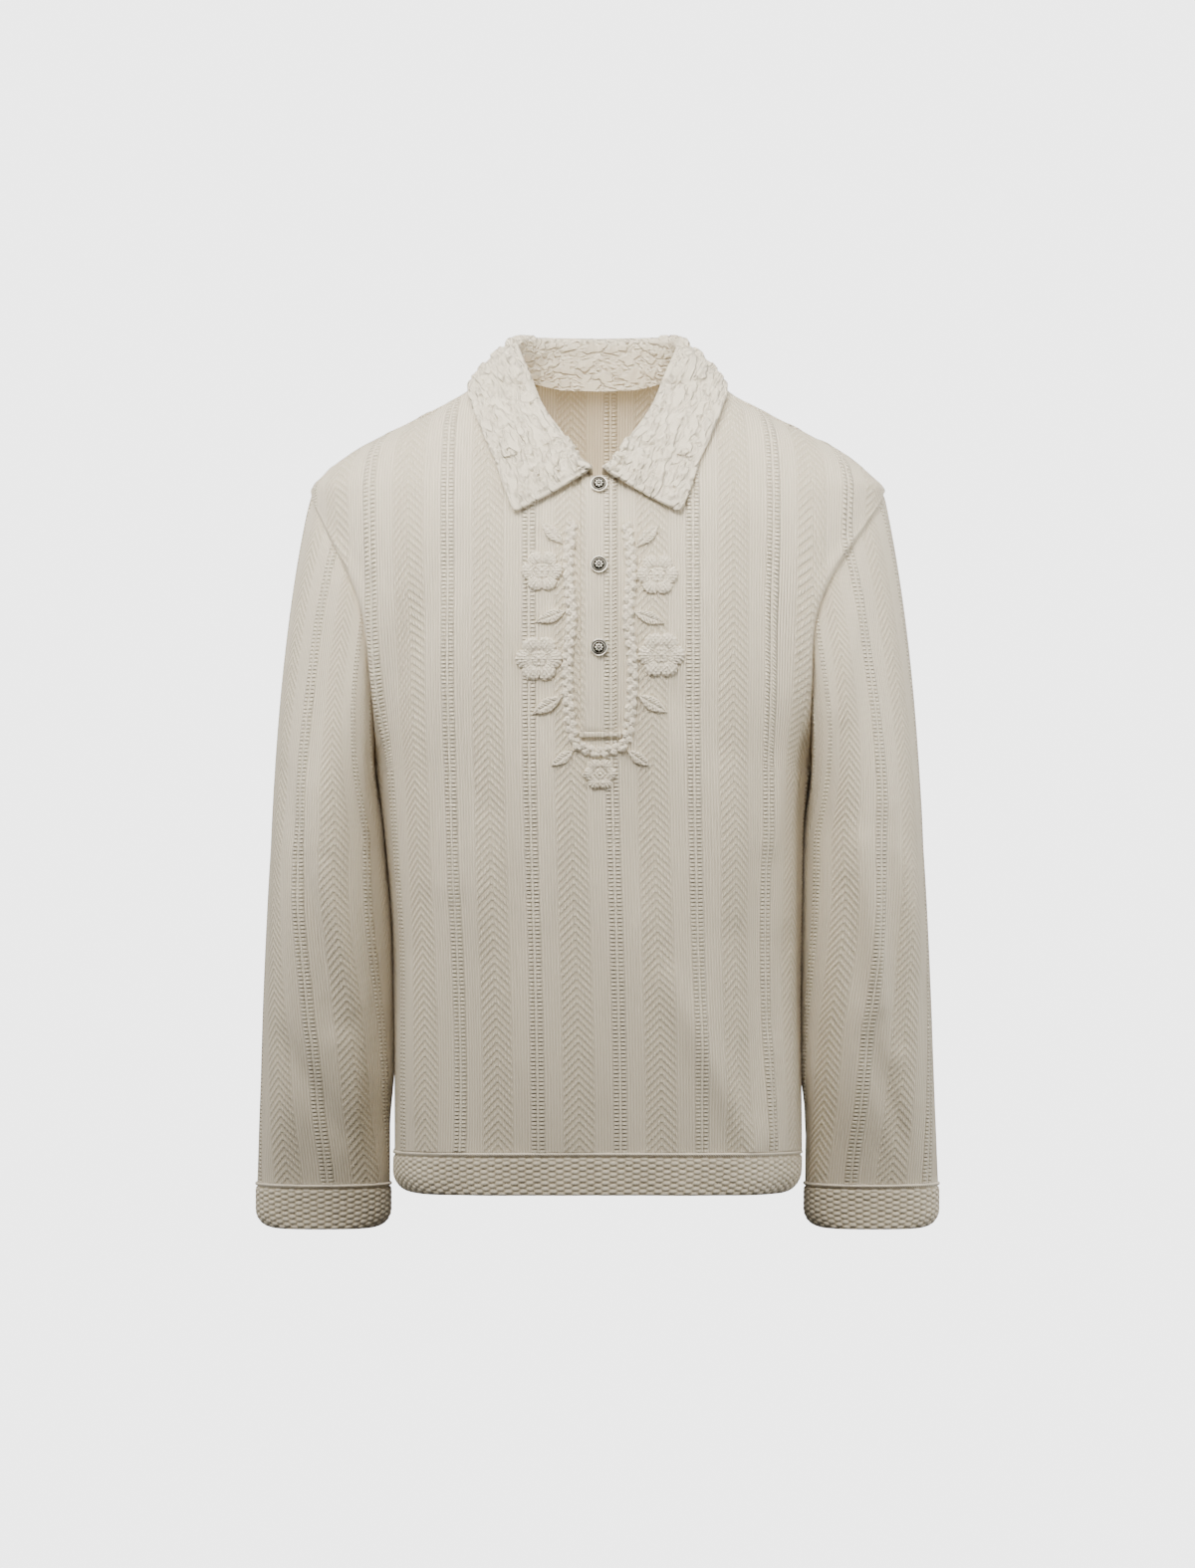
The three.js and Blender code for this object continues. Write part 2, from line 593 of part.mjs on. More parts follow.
// The back runs on over the shoulder's ridge and down to the seam in front of it.
function backPanel() {
  const leftReach = quarterLength(armpitZ, -1, 1);
  const rightReach = quarterLength(armpitZ, 1, 1);
  const highArc = alongQuarter(backNeckZ(highPointX), 1, 1, 'x', highPointX, 'arc');
  const columns = [-leftReach, ...stripeColumns(leftReach, [-highArc, highArc]), rightReach];
  const rows = [];
  const reliefs = [];
  const turns = [];
  const ridgeRow = skirtRows + yokeRows;
  const overRows = 2;
  for (let r = 0; r <= ridgeRow + overRows; r++) {
    rows.push([]);
    reliefs.push([]);
    turns.push([]);
    for (const signed of columns) {
      const side = signed < 0 ? -1 : 1;
      const column = abs(signed);
      const full = side < 0 ? leftReach : rightReach;
      const edge = full - column < 1e-6;
      const top = backTop(column, side, highArc);
      let point;
      let turn = null;
      if (r <= skirtRows) {
        const z = mix(seamLineZ(column, side, 1), armpitZ, r / skirtRows);
        point = torsoPoint(z, side, 1, edge ? quarterLength(z, side, 1) : columnArc(column, z, side, 1));
        if (edge) point.y = seamGap / 2;
        if (edge && r === skirtRows) turn = PI;
      } else if (r <= ridgeRow) {
        const z = mix(armpitZ, top.z, yokeShare(r - skirtRows));
        const arc = min(columnArcPastTip(column, z, side, 1) ?? Infinity, quarterLength(z, side, 1));
        point = torsoPoint(z, side, 1, arc);
        if (edge) turn = turnAtZ(z);
        if (r === ridgeRow && top.onRidge) point.set(side * top.x, 0, top.z);
      } else {
        point = overRidge(column, side, top, (r - ridgeRow) / overRows, edge);
        if (edge) turn = 0;
      }
      const quiet = smooth((full - column) / 30);
      if (!edge && r <= ridgeRow) {
        point.addScaledVector(torsoNormal(point, side, 1), foldRise(backFolds, point.x, point.z) * quiet);
      }
      rows[r].push(point);
      const onEdge = edge || r >= ridgeRow || r === 0;
      reliefs[r].push(onEdge ? 0 : cableHeight(signed));
      turns[r].push(turn);
    }
  }
  const normals = gridNormals(rows, { middle: torsoMiddle });
  const rim = (r, c) => rimDirection(rows[r][c], turns[r][c], columns[c] < 0 ? -1 : 1, 1, c, columns.length);
  const inside = insideOf(rows, normals, clothThickness, rim);
  const outside = rows.map((row, r) => row.map((point, c) => point.clone()
    .addScaledVector(normals[r][c], reliefs[r][c])));
  const skip = (r, c) => r >= ridgeRow && abs(columns[c] + columns[c + 1]) / 2 < highArc;
  return wallGeometry(outside, inside, { skip });
}

// The top of a back column: the back neckline inside the high point, the shoulder's ridge outside it.
function backTop(column, side, highArc) {
  const onRidge = column >= highArc - 1e-6;
  const z = lastTrue(armpitZ, 15, (level) => {
    const arc = columnArcPastTip(column, level, side, 1);
    if (arc === null) return false;
    const x = alongQuarter(level, side, 1, 'arc', arc, 'x');
    return onRidge || level < backNeckZ(x);
  });
  return { z, x: halfWidth(z, side), onRidge };
}

// From the ridge forwards and down to the shoulder seam, at one distance from the middle.
function overRidge(column, side, top, share, edge) {
  if (!top.onRidge) return new THREE.Vector3(side * top.x, 0, top.z);
  if (edge) {
    const turn = lastTrue(0, PI / 4, (at) => armholeDepth(at, side) < seamForwardAtTip * share - 2 * seamGap);
    return armholePoint(turn, side, -1);
  }
  const x = mix(top.x, max(top.x - (highPointX - neckSideX), neckSideX), share * smooth((110 - top.x) / 25));
  const depth = (seamForward(x) - seamGap) * share;
  const z = lastTrue(top.z - 80, top.z, (level) => depthAt(x, level, side, -1) > depth);
  return new THREE.Vector3(side * x, -depth, z);
}

const sleeveInner = curveOf(sleeveRings, 'z', 'inner');
const sleeveOuter = curveOf(sleeveRings, 'z', 'outer');
const sleeveDepth = curveOf(sleeveRings, 'z', 'depth');

// A point of the sleeve's ring at height z: turn 0 is the outer side, 90 degrees the front, 180 the inner side.
function sleeveRingPoint(turn, z, side) {
  const centre = (sleeveInner(z) + sleeveOuter(z)) / 2;
  const half = (sleeveOuter(z) - sleeveInner(z)) / 2;
  const rounded = (value) => Math.sign(value) * pow(abs(value), 2 / sleevePower);
  return new THREE.Vector3(side * (centre + half * rounded(cos(turn))), -sleeveDepth(z) * rounded(sin(turn)), z);
}

function sleeveCapPoint(turn, share, side) {
  const face = sin(turn) >= 0 ? -1 : 1;
  const loopTurn = turn <= PI ? turn : 2 * PI - turn;
  const start = armholePoint(loopTurn, side, face);
  const end = sleeveRingPoint(turn, sleeveRingTopZ, side);
  const upper = (1 + cos(turn)) / 2;
  const leave = new THREE.Vector3(side * mix(18, 62, pow(upper, 0.5)), -22 * sin(turn), -60 - 225 * pow(upper, 1.5));
  const arrive = new THREE.Vector3(side * 12 * upper, 0, end.z - start.z);
  const t = share;
  return start.multiplyScalar((1 + 2 * t) * (1 - t) * (1 - t))
    .addScaledVector(end, t * t * (3 - 2 * t))
    .addScaledVector(leave, t * (1 - t) * (1 - t))
    .addScaledVector(arrive, -t * t * (1 - t));
}

function sleeveMiddle(side) {
  return (point) => new THREE.Vector3(side * mix(228, 215, smooth((point.z + 400) / 200)), 0, min(point.z, -190));
}

function sleeve(side) {
  const folds = sleeveFolds.filter((fold) => fold.side === side);
  const mirrored = sleeveFolds.filter((fold) => fold.side !== side);
  const rows = [];
  for (let r = 0; r <= capRows + armRows; r++) {
    rows.push([]);
    for (let c = 0; c < sleeveSides; c++) {
      const turn = (2 * PI * c) / sleeveSides;
      let point;
      if (r <= capRows) {
        const clear = seamGap / 60;
        point = sleeveCapPoint(turn, mix(clear, 1, pow(r / capRows, 1.15)), side);
      } else {
        const z = mix(sleeveRingTopZ, sleeveEndZ, (r - capRows) / armRows);
        point = sleeveRingPoint(turn, z, side);
      }
      const reach = pow(abs(sin(turn)), 1.5) * smooth((r - 0.5) / 2) * smooth((capRows + armRows - r) / 2);
      const rise = foldRise(sin(turn) > 0 ? folds : mirrored, abs(point.x), point.z) * reach;
      const away = point.clone().sub(sleeveMiddle(side)(point)).setZ(0).normalize();
      rows[r].push(point.addScaledVector(away, rise));
    }
  }
  const normals = gridNormals(rows, { wraps: true, middle: sleeveMiddle(side) });
  const rim = (r, c) => {
    if (r > 0) return null;
    const turn = (2 * PI * c) / sleeveSides;
    const face = sin(turn) >= 0 ? -1 : 1;
    return armholeMitre(turn <= PI ? turn : 2 * PI - turn, side, face);
  };
  return wallGeometry(rows, insideOf(rows, normals, clothThickness, rim), { wraps: true });
}

// A band's profile downwards from its seam: a raised cord, then plain to the lower edge.
const cordRise = 1.5;
function bandProfile(height) {
  return [
    { drop: 0, rise: 0 },
    { drop: 0.9, rise: cordRise },
    { drop: 2.4, rise: cordRise },
    { drop: 3.4, rise: 0.2 },
    { drop: height * 0.5, rise: 0.6 },
    { drop: height * 0.8, rise: 0.5 },
    { drop: height, rise: 0 },
  ];
}

// The lower corners of a band turn in and lift at the sides; share is how far round to the side a point is.
function cornerTuck(share, toEdge, radius) {
  const round = radius - sqrt(max(radius * radius - pow(max(radius - toEdge, 0), 2), 0));
  return { inset: 0.55 * round * smooth(share), lift: 0.45 * radius * smooth(share) * clamp01(1 - toEdge / radius) };
}

function hemBand() {
  const cornerRadius = 19;
  const rows = bandProfile(hemBandHeight).map(({ drop, rise }) => {
    const row = [];
    for (let c = 0; c < bandSides; c++) {
      const turn = (2 * PI * c) / bandSides;
      const side = cos(turn) >= 0 ? 1 : -1;
      const face = sin(turn) >= 0 ? -1 : 1;
      const share = 1 - abs(2 * Math.asin(abs(sin(turn))) / PI);
      const seamZ = hemSeamFrontZ - hemSeamSideDrop * share * share - seamGap;
      const tuck = cornerTuck((share - 0.55) / 0.4, hemBandHeight - drop, cornerRadius);
      const z = seamZ - drop + tuck.lift;
      const point = torsoPoint(seamZ - drop, side, face, share * quarterLength(seamZ - drop, side, face));
      const normal = torsoNormal(point, side, face);
      point.addScaledVector(normal, rise);
      point.x -= side * tuck.inset;
      point.z = z;
      row.push(point);
    }
    return row;
  });
  const normals = gridNormals(rows, { wraps: true, middle: (point) => new THREE.Vector3(0, 0, point.z) });
  const plain = rows.map((row, r) => row.map((point, c) => point.clone()
    .addScaledVector(normals[r][c].setZ(0).normalize(), -bandProfile(hemBandHeight)[r].rise)));
  return wallGeometry(rows, insideOf(plain, normals, bandThickness), { wraps: true });
}

function cuff(side) {
  const cornerRadius = 15;
  const rows = bandProfile(cuffHeight).map(({ drop, rise }) => {
    const row = [];
    for (let c = 0; c < cuffSides; c++) {
      const turn = (2 * PI * c) / cuffSides;
      const z = sleeveEndZ - seamGap - drop;
      const point = sleeveRingPoint(turn, z, side);
      const tuck = cornerTuck((abs(cos(turn)) - 0.5) / 0.45, cuffHeight - drop, cornerRadius);
      const away = new THREE.Vector3(side * cos(turn), -sin(turn), 0);
      point.addScaledVector(away, rise);
      point.x -= side * Math.sign(cos(turn)) * tuck.inset;
      point.z += tuck.lift;
      row.push(point);
    }
    return row;
  });
  const normals = gridNormals(rows, { wraps: true, middle: (point) => sleeveMiddle(side)(point).setZ(point.z) });
  const plain = rows.map((row, r) => row.map((point, c) => point.clone()
    .addScaledVector(normals[r][c].setZ(0).normalize(), -bandProfile(cuffHeight)[r].rise)));
  return wallGeometry(rows, insideOf(plain, normals, bandThickness), { wraps: true });
}

// Moves a point out of the torso until it is clear of its cloth.
function clearOfTorso(point, clear) {
  const side = point.x < 0 ? -1 : 1;
  const face = point.y < 0 ? -1 : 1;
  for (let i = 0; i < 6; i++) {
    const z = min(point.z, 15);
    const level = pow(abs(point.x) / halfWidth(z, side), sectionPower)
      + pow(abs(point.y) / halfDepth(z, face), sectionPower);
    const reach = hypot(point.x, point.y);
    const outside = reach * (1 - pow(level, -1 / sectionPower));
    const normal = torsoNormal(point, side, face);
    const flat = new THREE.Vector3(point.x, point.y, 0).normalize().dot(normal);
    const distance = outside * abs(flat);
    if (distance >= clear) break;
    point.addScaledVector(normal, clear - distance);
  }
  return point;
}

const neckXAt = curveOf(collarRoute, 's', 'neckX');
const routeOf = Object.fromEntries(['rollX', 'rollY', 'rollZ', 'edgeX', 'edgeY', 'edgeZ']
  .map((name) => [name, curveOf(collarRoute, 's', name)]));
const neckTurnShare = 0.41;     // where the collar passes the high point of the shoulder
const seamCornerShare = 0.5;    // and where it meets the front's shoulder seam

function neckPoint(s, side) {
  if (s <= neckTurnShare) {
    const x = neckXAt(s);
    return new THREE.Vector3(side * x, s === neckTurnShare ? 0 : depthAt(x, backNeckZ(x), side, 1), backNeckZ(x));
  }
  if (s >= seamCornerShare) {
    const x = neckXAt(s);
    return new THREE.Vector3(side * x, -depthAt(x, frontNeckZ(x), side, -1), frontNeckZ(x));
  }
  const share = (s - neckTurnShare) / (seamCornerShare - neckTurnShare);
  const back = neckPoint(neckTurnShare, side);
  return back.lerp(neckPoint(seamCornerShare, side), share);
}

// One strip folded along its roll line: the stand inside, the fall outside.
function collar() {
  const standRows = [0, 0.5];
  const rollSteps = [-1, -0.7, 0, 0.7, 1];
  const fallRows = [0.18, 0.42, 0.7, 1];
  const columns = [];
  for (let c = 0; c <= collarColumns; c++) columns.push((2 * c) / collarColumns - 1);
  const roll = (signed) => {
    const s = abs(signed);
    const side = signed < 0 ? -1 : 1;
    return new THREE.Vector3(side * routeOf.rollX(s), routeOf.rollY(s), routeOf.rollZ(s));
  };
  const strips = columns.map((signed) => {
    const s = abs(signed);
    const side = signed < 0 ? -1 : 1;
    const top = roll(signed);
    const foot = neckPoint(s, side);
    const edge = new THREE.Vector3(side * routeOf.edgeX(s), routeOf.edgeY(s), routeOf.edgeZ(s));
    const rise = top.clone().sub(foot).normalize();
    const along = roll(min(signed + 0.02, 1)).sub(roll(max(signed - 0.02, -1))).normalize();
    const out = along.clone().cross(rise).normalize();
    const outward = edge.clone().sub(foot);
    if (out.dot(outward) < 0) out.negate();
    const ease = shoulderEase * Math.exp(-pow((s - 0.46) / 0.07, 2));
    foot.addScaledVector(rise, collarSeamGap + ease).addScaledVector(out, -collarThickness / 2 - seamGap);
    const radius = rollRadius;
    const standTop = top.clone().addScaledVector(rise, -radius).addScaledVector(out, -radius);
    const fallTop = top.clone().addScaledVector(rise, -radius).addScaledVector(out, radius);
    const strip = standRows.map((share) => foot.clone().lerp(standTop, share));
    for (const step of rollSteps) {
      const lower = step * step * step * step;
      strip.push(top.clone().addScaledVector(rise, -radius * mix(0, 1, lower)).addScaledVector(out, radius * step));
    }
    for (const share of fallRows) {
      const bulge = 3 * sin(PI * share);
      const point = fallTop.clone().lerp(edge, share).addScaledVector(out, bulge);
      strip.push(clearOfTorso(point, collarClearance + collarThickness / 2));
    }
    return strip;
  });
  const rows = strips[0].map((_, r) => strips.map((strip) => strip[r]));
  const half = collarThickness / 2;
  const normals = rows.map((row, r) => row.map((point, c) => {
    const up = rows[min(r + 1, rows.length - 1)][c].clone().sub(rows[max(r - 1, 0)][c]);
    const across = row[min(c + 1, row.length - 1)].clone().sub(row[max(c - 1, 0)]);
    return up.cross(across).normalize();
  }));
  const shifted = (sign) => rows.map((row, r) => row.map((point, c) => point.clone()
    .addScaledVector(normals[r][c], sign * half)));
  return wallGeometry(shifted(1), shifted(-1));
}

// A strip that lies along the front: heights from the bottom up, x from left to right, raised off the cloth.
function frontStrip({ left, right, bottom, top, lift, thickness, steps, across = 3 }) {
  const grid = (rise) => {
    const rows = [];
    for (let r = 0; r <= steps; r++) {
      const row = [];
      for (let c = 0; c <= across; c++) row.push(frontPoint(mix(left, right, c / across), mix(bottom, top, r / steps), rise));
      rows.push(row);
    }
    return rows;
  };
  return wallGeometry(grid(lift + thickness), grid(lift));
}

// A flat motif on the cloth, from its outline radius at each turn, domed towards the middle.
function motif({ x, z, radiusAt, sides, turn = 0 }) {
  const base = motifLift;
  const rings = [1, 0.55, 0];
  const layer = (rise) => rings.map((share) => {
    const row = [];
    for (let c = 0; c < sides; c++) {
      const angle = (2 * PI * c) / sides;
      const reach = radiusAt(angle) * share;
      const px = x + reach * cos(angle + turn);
      const pz = z + reach * sin(angle + turn);
      row.push(frontPoint(px, pz, base + rise(share)));
    }
    return row;
  });
  const upper = layer((share) => motifThickness * (share === 1 ? 0.6 : 1));
  const lower = layer(() => 0);
  return fanSolid(upper, lower);
}

// Closes two stacks of rings that shrink to one point each.
function fanSolid(upper, lower) {
  const sides = upper[0].length;
  const positions = [];
  const ringStart = [];
  for (const layer of [upper, lower]) {
    for (const ring of layer.slice(0, -1)) {
      ringStart.push(positions.length / 3);
      for (const point of ring) positions.push(point.x, point.y, point.z);
    }
    ringStart.push(positions.length / 3);
    const tip = layer[layer.length - 1][0];
    positions.push(tip.x, tip.y, tip.z);
  }
  const [outerTop, innerTop, tipTop, outerLow, innerLow, tipLow] = ringStart;
  const triangles = [];
  for (let c = 0; c < sides; c++) {
    const next = (c + 1) % sides;
    triangles.push(outerTop + c, outerTop + next, innerTop + next, outerTop + c, innerTop + next, innerTop + c);
    triangles.push(innerTop + c, innerTop + next, tipTop);
    triangles.push(outerLow + next, outerLow + c, innerLow + next, outerLow + c, innerLow + c, innerLow + next);
    triangles.push(innerLow + next, innerLow + c, tipLow);
    triangles.push(outerTop + next, outerTop + c, outerLow + c, outerTop + next, outerLow + c, outerLow + next);
  }
  const geometry = new THREE.BufferGeometry();
  geometry.setAttribute('position', new THREE.Float32BufferAttribute(positions, 3));
  geometry.setIndex(facingOut(positions, triangles));
  geometry.computeVertexNormals();
  return geometry;
}

function stem() {
  const route = new THREE.CatmullRomCurve3(stemRoute.map(({ x, z }) => new THREE.Vector3(x, 0, z)));
  const steps = 32;
  const base = motifLift;
  const rows = [[], []];
  const under = [[], []];
  for (let i = 0; i <= steps; i++) {
    const at = route.getPoint(i / steps);
    const along = route.getTangent(i / steps);
    for (const [r, sign] of [[0, -1], [1, 1]]) {
      const x = at.x - along.z * stemHalfWidth * sign;
      const z = at.z + along.x * stemHalfWidth * sign;
      rows[r].push(frontPoint(x, z, base + motifThickness * 0.8));
      under[r].push(frontPoint(x, z, base));
    }
  }
  return wallGeometry(rows, under);
}

// A domed metal button with a rim, turned about the axis that points away from the placket.
function button(x, z) {
  const profile = [
    [0, 0], [5.2, 0], [5.4, 1], [buttonRadius, 1.3], [buttonRadius, 2.7], [6.3, 3.2], [5.7, 2.9], [3.4, 4.5], [0, 5.1],
  ].map(([radius, height]) => new THREE.Vector2(radius, height));
  const geometry = new THREE.LatheGeometry(profile, 15);
  const lift = clothThickness + 2 * seamGap + buttonClearance;
  const seat = frontPoint(x, z, lift);
  const away = torsoNormal(seat, 1, -1);
  const mesh = new THREE.Mesh(geometry);
  mesh.quaternion.setFromUnitVectors(new THREE.Vector3(0, 1, 0), away);
  mesh.position.copy(seat);
  return mesh;
}

// Materials
const knit = new THREE.MeshStandardMaterial({ color: '#cfc9bc', roughness: 0.9, metalness: 0 });
const honeycomb = new THREE.MeshStandardMaterial({ color: '#c4bcae', roughness: 0.92, metalness: 0 });
const collarCloth = new THREE.MeshStandardMaterial({ color: '#dad5ca', roughness: 0.9, metalness: 0 });
const applique = new THREE.MeshStandardMaterial({ color: '#dcd8ce', roughness: 0.9, metalness: 0 });
const silver = new THREE.MeshStandardMaterial({ color: '#b9b8b2', roughness: 0.3, metalness: 1 });

const shirt = new THREE.Group();

function add(name, made, material) {
  const mesh = made.isMesh ? made : new THREE.Mesh(made);
  mesh.name = name;
  mesh.material = material;
  shirt.add(mesh);
}

add('front', front.geometry, knit);
add('back', backPanel(), knit);
add('sleeve_left', sleeve(1), knit);
add('sleeve_right', sleeve(-1), knit);
add('cuff_left', cuff(1), honeycomb);
add('cuff_right', cuff(-1), honeycomb);
add('hem_band', hemBand(), honeycomb);
add('collar', collar(), collarCloth);

const underLift = -clothThickness;
const topLift = seamGap;
add('placket_under', frontStrip({
  left: slotLeft + seamGap + 1,
  right: underPlacketRight,
  bottom: slotBottomZ + seamGap,
  top: placketTopZ - 3,
  lift: underLift,
  thickness: clothThickness,
  steps: 10,
}), knit);
add('placket_top', frontStrip({
  left: -placketHalfWidth,
  right: placketHalfWidth,
  bottom: placketBottomZ + barHeight,
  top: placketTopZ,
  lift: topLift,
  thickness: clothThickness,
  steps: 10,
}), knit);
add('placket_bar', frontStrip({
  left: -placketHalfWidth - 1,
  right: underPlacketRight,
  bottom: placketBottomZ,
  top: placketBottomZ + barHeight - seamGap,
  lift: topLift,
  thickness: clothThickness,
  steps: 1,
  across: 4,
}), knit);

buttonHeights.forEach((z, i) => add(`button_${i + 1}`, button(buttonX, z), silver));

add('applique_stem', stem(), applique);
rosettes.forEach(({ x, z, radius }, i) => {
  const radiusAt = (angle) => radius * (0.88 + 0.12 * cos(6 * angle));
  add(`applique_rosette_${i + 1}`, motif({ x, z, radiusAt, sides: 24 }), applique);
});
leaves.forEach(({ x, z, length, turn }, i) => {
  const radiusAt = (angle) => (length / 2)
    / pow(pow(abs(cos(angle)), leafRound) + pow(abs(sin(angle)) / leafHalfWidth, leafRound), 1 / leafRound);
  add(`applique_leaf_${i + 1}`, motif({ x, z, radiusAt, sides: 16, turn: (turn * PI) / 180 }), applique);
});

export default shirt;
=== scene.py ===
import math

import bpy
import numpy as np
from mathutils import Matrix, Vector


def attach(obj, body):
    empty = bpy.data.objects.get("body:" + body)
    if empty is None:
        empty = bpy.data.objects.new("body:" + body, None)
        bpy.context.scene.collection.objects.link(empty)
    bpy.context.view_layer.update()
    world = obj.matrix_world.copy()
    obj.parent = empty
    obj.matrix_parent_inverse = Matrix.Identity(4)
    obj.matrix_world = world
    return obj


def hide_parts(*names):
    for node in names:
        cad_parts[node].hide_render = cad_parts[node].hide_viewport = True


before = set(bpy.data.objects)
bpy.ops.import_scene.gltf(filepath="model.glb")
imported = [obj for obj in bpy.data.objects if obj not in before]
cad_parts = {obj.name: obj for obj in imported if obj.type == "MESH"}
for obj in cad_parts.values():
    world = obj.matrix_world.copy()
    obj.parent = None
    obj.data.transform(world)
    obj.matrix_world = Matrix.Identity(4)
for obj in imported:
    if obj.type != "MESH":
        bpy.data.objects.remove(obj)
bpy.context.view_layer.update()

# Lengths in this script are millimetres until a mesh is made, in the shirt's own frame:
# X to the viewer's right, Y from front to back, Z up. side is +1 on the viewer's right, face -1 in front.
perMetre = 1000.0


# Named columns from short rows of numbers
def table(names, rows):
    return dict(zip(names.split(), np.array(rows, float).T))


def clamp01(value):
    return np.clip(value, 0.0, 1.0)


def smooth(value):
    t = clamp01(value)
    return t * t * (3 - 2 * t)


def mix(low, high, share):
    return low + (high - low) * share


# A smooth curve through two columns of a table, which never overshoots them
def curveOf(columns, key, value):
    order = np.argsort(columns[key])
    keys, values = columns[key][order], columns[value][order]
    steps = np.diff(values) / np.diff(keys)
    product = steps[:-1] * steps[1:]
    total = np.where(product > 0, steps[:-1] + steps[1:], 1.0)
    inner = np.where(product > 0, 2 * product / total, 0.0)
    slopes = np.concatenate([steps[:1], inner, steps[-1:]])

    def read(at):
        at = np.asarray(at, float)
        i = np.clip(np.searchsorted(keys, at) - 1, 0, len(keys) - 2)
        span = keys[i + 1] - keys[i]
        t = clamp01((at - keys[i]) / span)
        far = t * t * (3 - 2 * t)
        bow = slopes[i] * t * (1 - t) ** 2 - slopes[i + 1] * t * t * (1 - t)
        return (1 - far) * values[i] + far * values[i + 1] + span * bow

    return read


# Where a test of heights turns from true to false, for a whole array at once
def lastTrue(low, high, test):
    good, bad = np.array(low, float), np.array(high, float)
    for _ in range(34):
        middle = (good + bad) / 2
        passed = test(middle)
        good, bad = np.where(passed, middle, good), np.where(passed, bad, middle)
    return good


def points(x, y, z):
    return np.stack(np.broadcast_arrays(x, y, z), axis=-1).astype(float)


def unit(vectors):
    return vectors / np.maximum(np.linalg.norm(vectors, axis=-1, keepdims=True), 1e-9)


# The body's sections
body = dict(
    power=2.6,
    armpitZ=-335.0,
    tipZ=-100.0,
    hemSeamZ=-648.0,
    hemSideDrop=6.3,
    scoopLeft=86.0,
    scoopRight=76.0,
    gradingStart=112.0,
    neckSideX=79.0,
    highPointX=82.0,
    tipX=241.0,
    seamForwardAtNeck=24.0,
    seamForwardAtTip=4.0,
    seamGap=0.3,
    rings=table(
        "z left right front back",
        [
            (-700, 170.5, 170.5, 117, 117),
            (-634, 171, 170.5, 118, 118),
            (-491, 170.5, 172, 119, 120),
            (-399, 172, 178, 121, 122),
            (-335, 179, 186, 122, 123),
            (-290, 195, 199, 122, 123),
            (-250, 212, 213, 121, 122),
            (-200, 226, 226, 118, 120),
            (-165, 235, 235, 113, 117),
            (-130, 240, 240, 106, 113),
            (-100, 241, 241, 96, 107),
            (-85, 228, 228, 89, 103),
            (-68, 205, 205, 81, 98),
            (-51, 175, 175, 70, 91),
            (-34, 142, 142, 57, 83),
            (-18, 113, 113, 47.5, 73),
            (-9, 101.6, 101.6, 46, 64),
            (5, 85, 85, 43, 54),
            (16, 71, 71, 38, 46),
        ],
    ),
    frontNeck=table(
        "x z", [(0, -92.5), (6.5, -92), (20, -86), (42, -70), (62, -47), (76, -18), (79, 2)]
    ),
    backNeck=table("x z", [(0, -7), (30, -6), (56, -1), (74, 5), (82, 8)]),
)
bodyCurves = {name: curveOf(body["rings"], "z", name) for name in ("left", "right", "front", "back")}
frontNeckZ = curveOf(body["frontNeck"], "x", "z")
backNeckZ = curveOf(body["backNeck"], "x", "z")


def halfWidth(z, side):
    return np.where(side > 0, bodyCurves["left"](z), bodyCurves["right"](z))


def halfDepth(z, face):
    return np.where(face < 0, bodyCurves["front"](z), bodyCurves["back"](z))


def lobe(share):
    return (1 - np.minimum(share, 1) ** body["power"]) ** (1 / body["power"])


def depthAt(x, z, side, face):
    return halfDepth(z, face) * lobe(np.abs(x) / halfWidth(z, side))


def widthAt(depth, z, side, face):
    return halfWidth(z, side) * lobe(depth / halfDepth(z, face))


# A quarter section is walked in equal steps of an angle, and these are the lengths of cloth to each step
arcAngles = np.linspace(0, math.pi / 2, 65)
arcSin = np.sin(arcAngles) ** (2 / body["power"])
arcCos = np.cos(arcAngles) ** (2 / body["power"])


# Lengths from the centre line to each angle, one row of them for each height
def quarterArcs(z, side, face):
    x = halfWidth(z, side)[..., None] * arcSin
    y = halfDepth(z, face)[..., None] * arcCos
    steps = np.hypot(np.diff(x, axis=-1), np.diff(y, axis=-1))
    return np.concatenate([np.zeros_like(x[..., :1]), np.cumsum(steps, axis=-1)], axis=-1)


def xAtArc(z, side, face, arc):
    arcs = quarterArcs(z, side, face)
    last = len(arcAngles) - 2
    i = np.clip((arcs < arc[..., None]).sum(axis=-1) - 1, 0, last)[..., None]
    low = np.take_along_axis(arcs, i, -1)[..., 0]
    high = np.take_along_axis(arcs, i + 1, -1)[..., 0]
    share = clamp01((arc - low) / np.maximum(high - low, 1e-9))
    return halfWidth(z, side) * mix(arcSin[i[..., 0]], arcSin[i[..., 0] + 1], share)


def arcAtAngle(z, side, face, angle):
    arcs = quarterArcs(z, side, face)
    at = np.clip(angle / arcAngles[1], 0, len(arcAngles) - 1.001)
    i = at.astype(int)[..., None]
    low = np.take_along_axis(arcs, i, -1)[..., 0]
    high = np.take_along_axis(arcs, i + 1, -1)[..., 0]
    return mix(low, high, at - i[..., 0])


def arcAtX(x, z, side, face):
    share = clamp01(np.abs(x) / halfWidth(z, side)) ** (body["power"] / 2)
    return arcAtAngle(z, side, face, np.arcsin(share))


def quarterLength(z, side, face):
    return quarterArcs(z, side, face)[..., -1]


def torsoPoint(z, side, face, arc):
    x = xAtArc(z, side, face, arc)
    return points(side * x, face * depthAt(x, z, side, face), z)


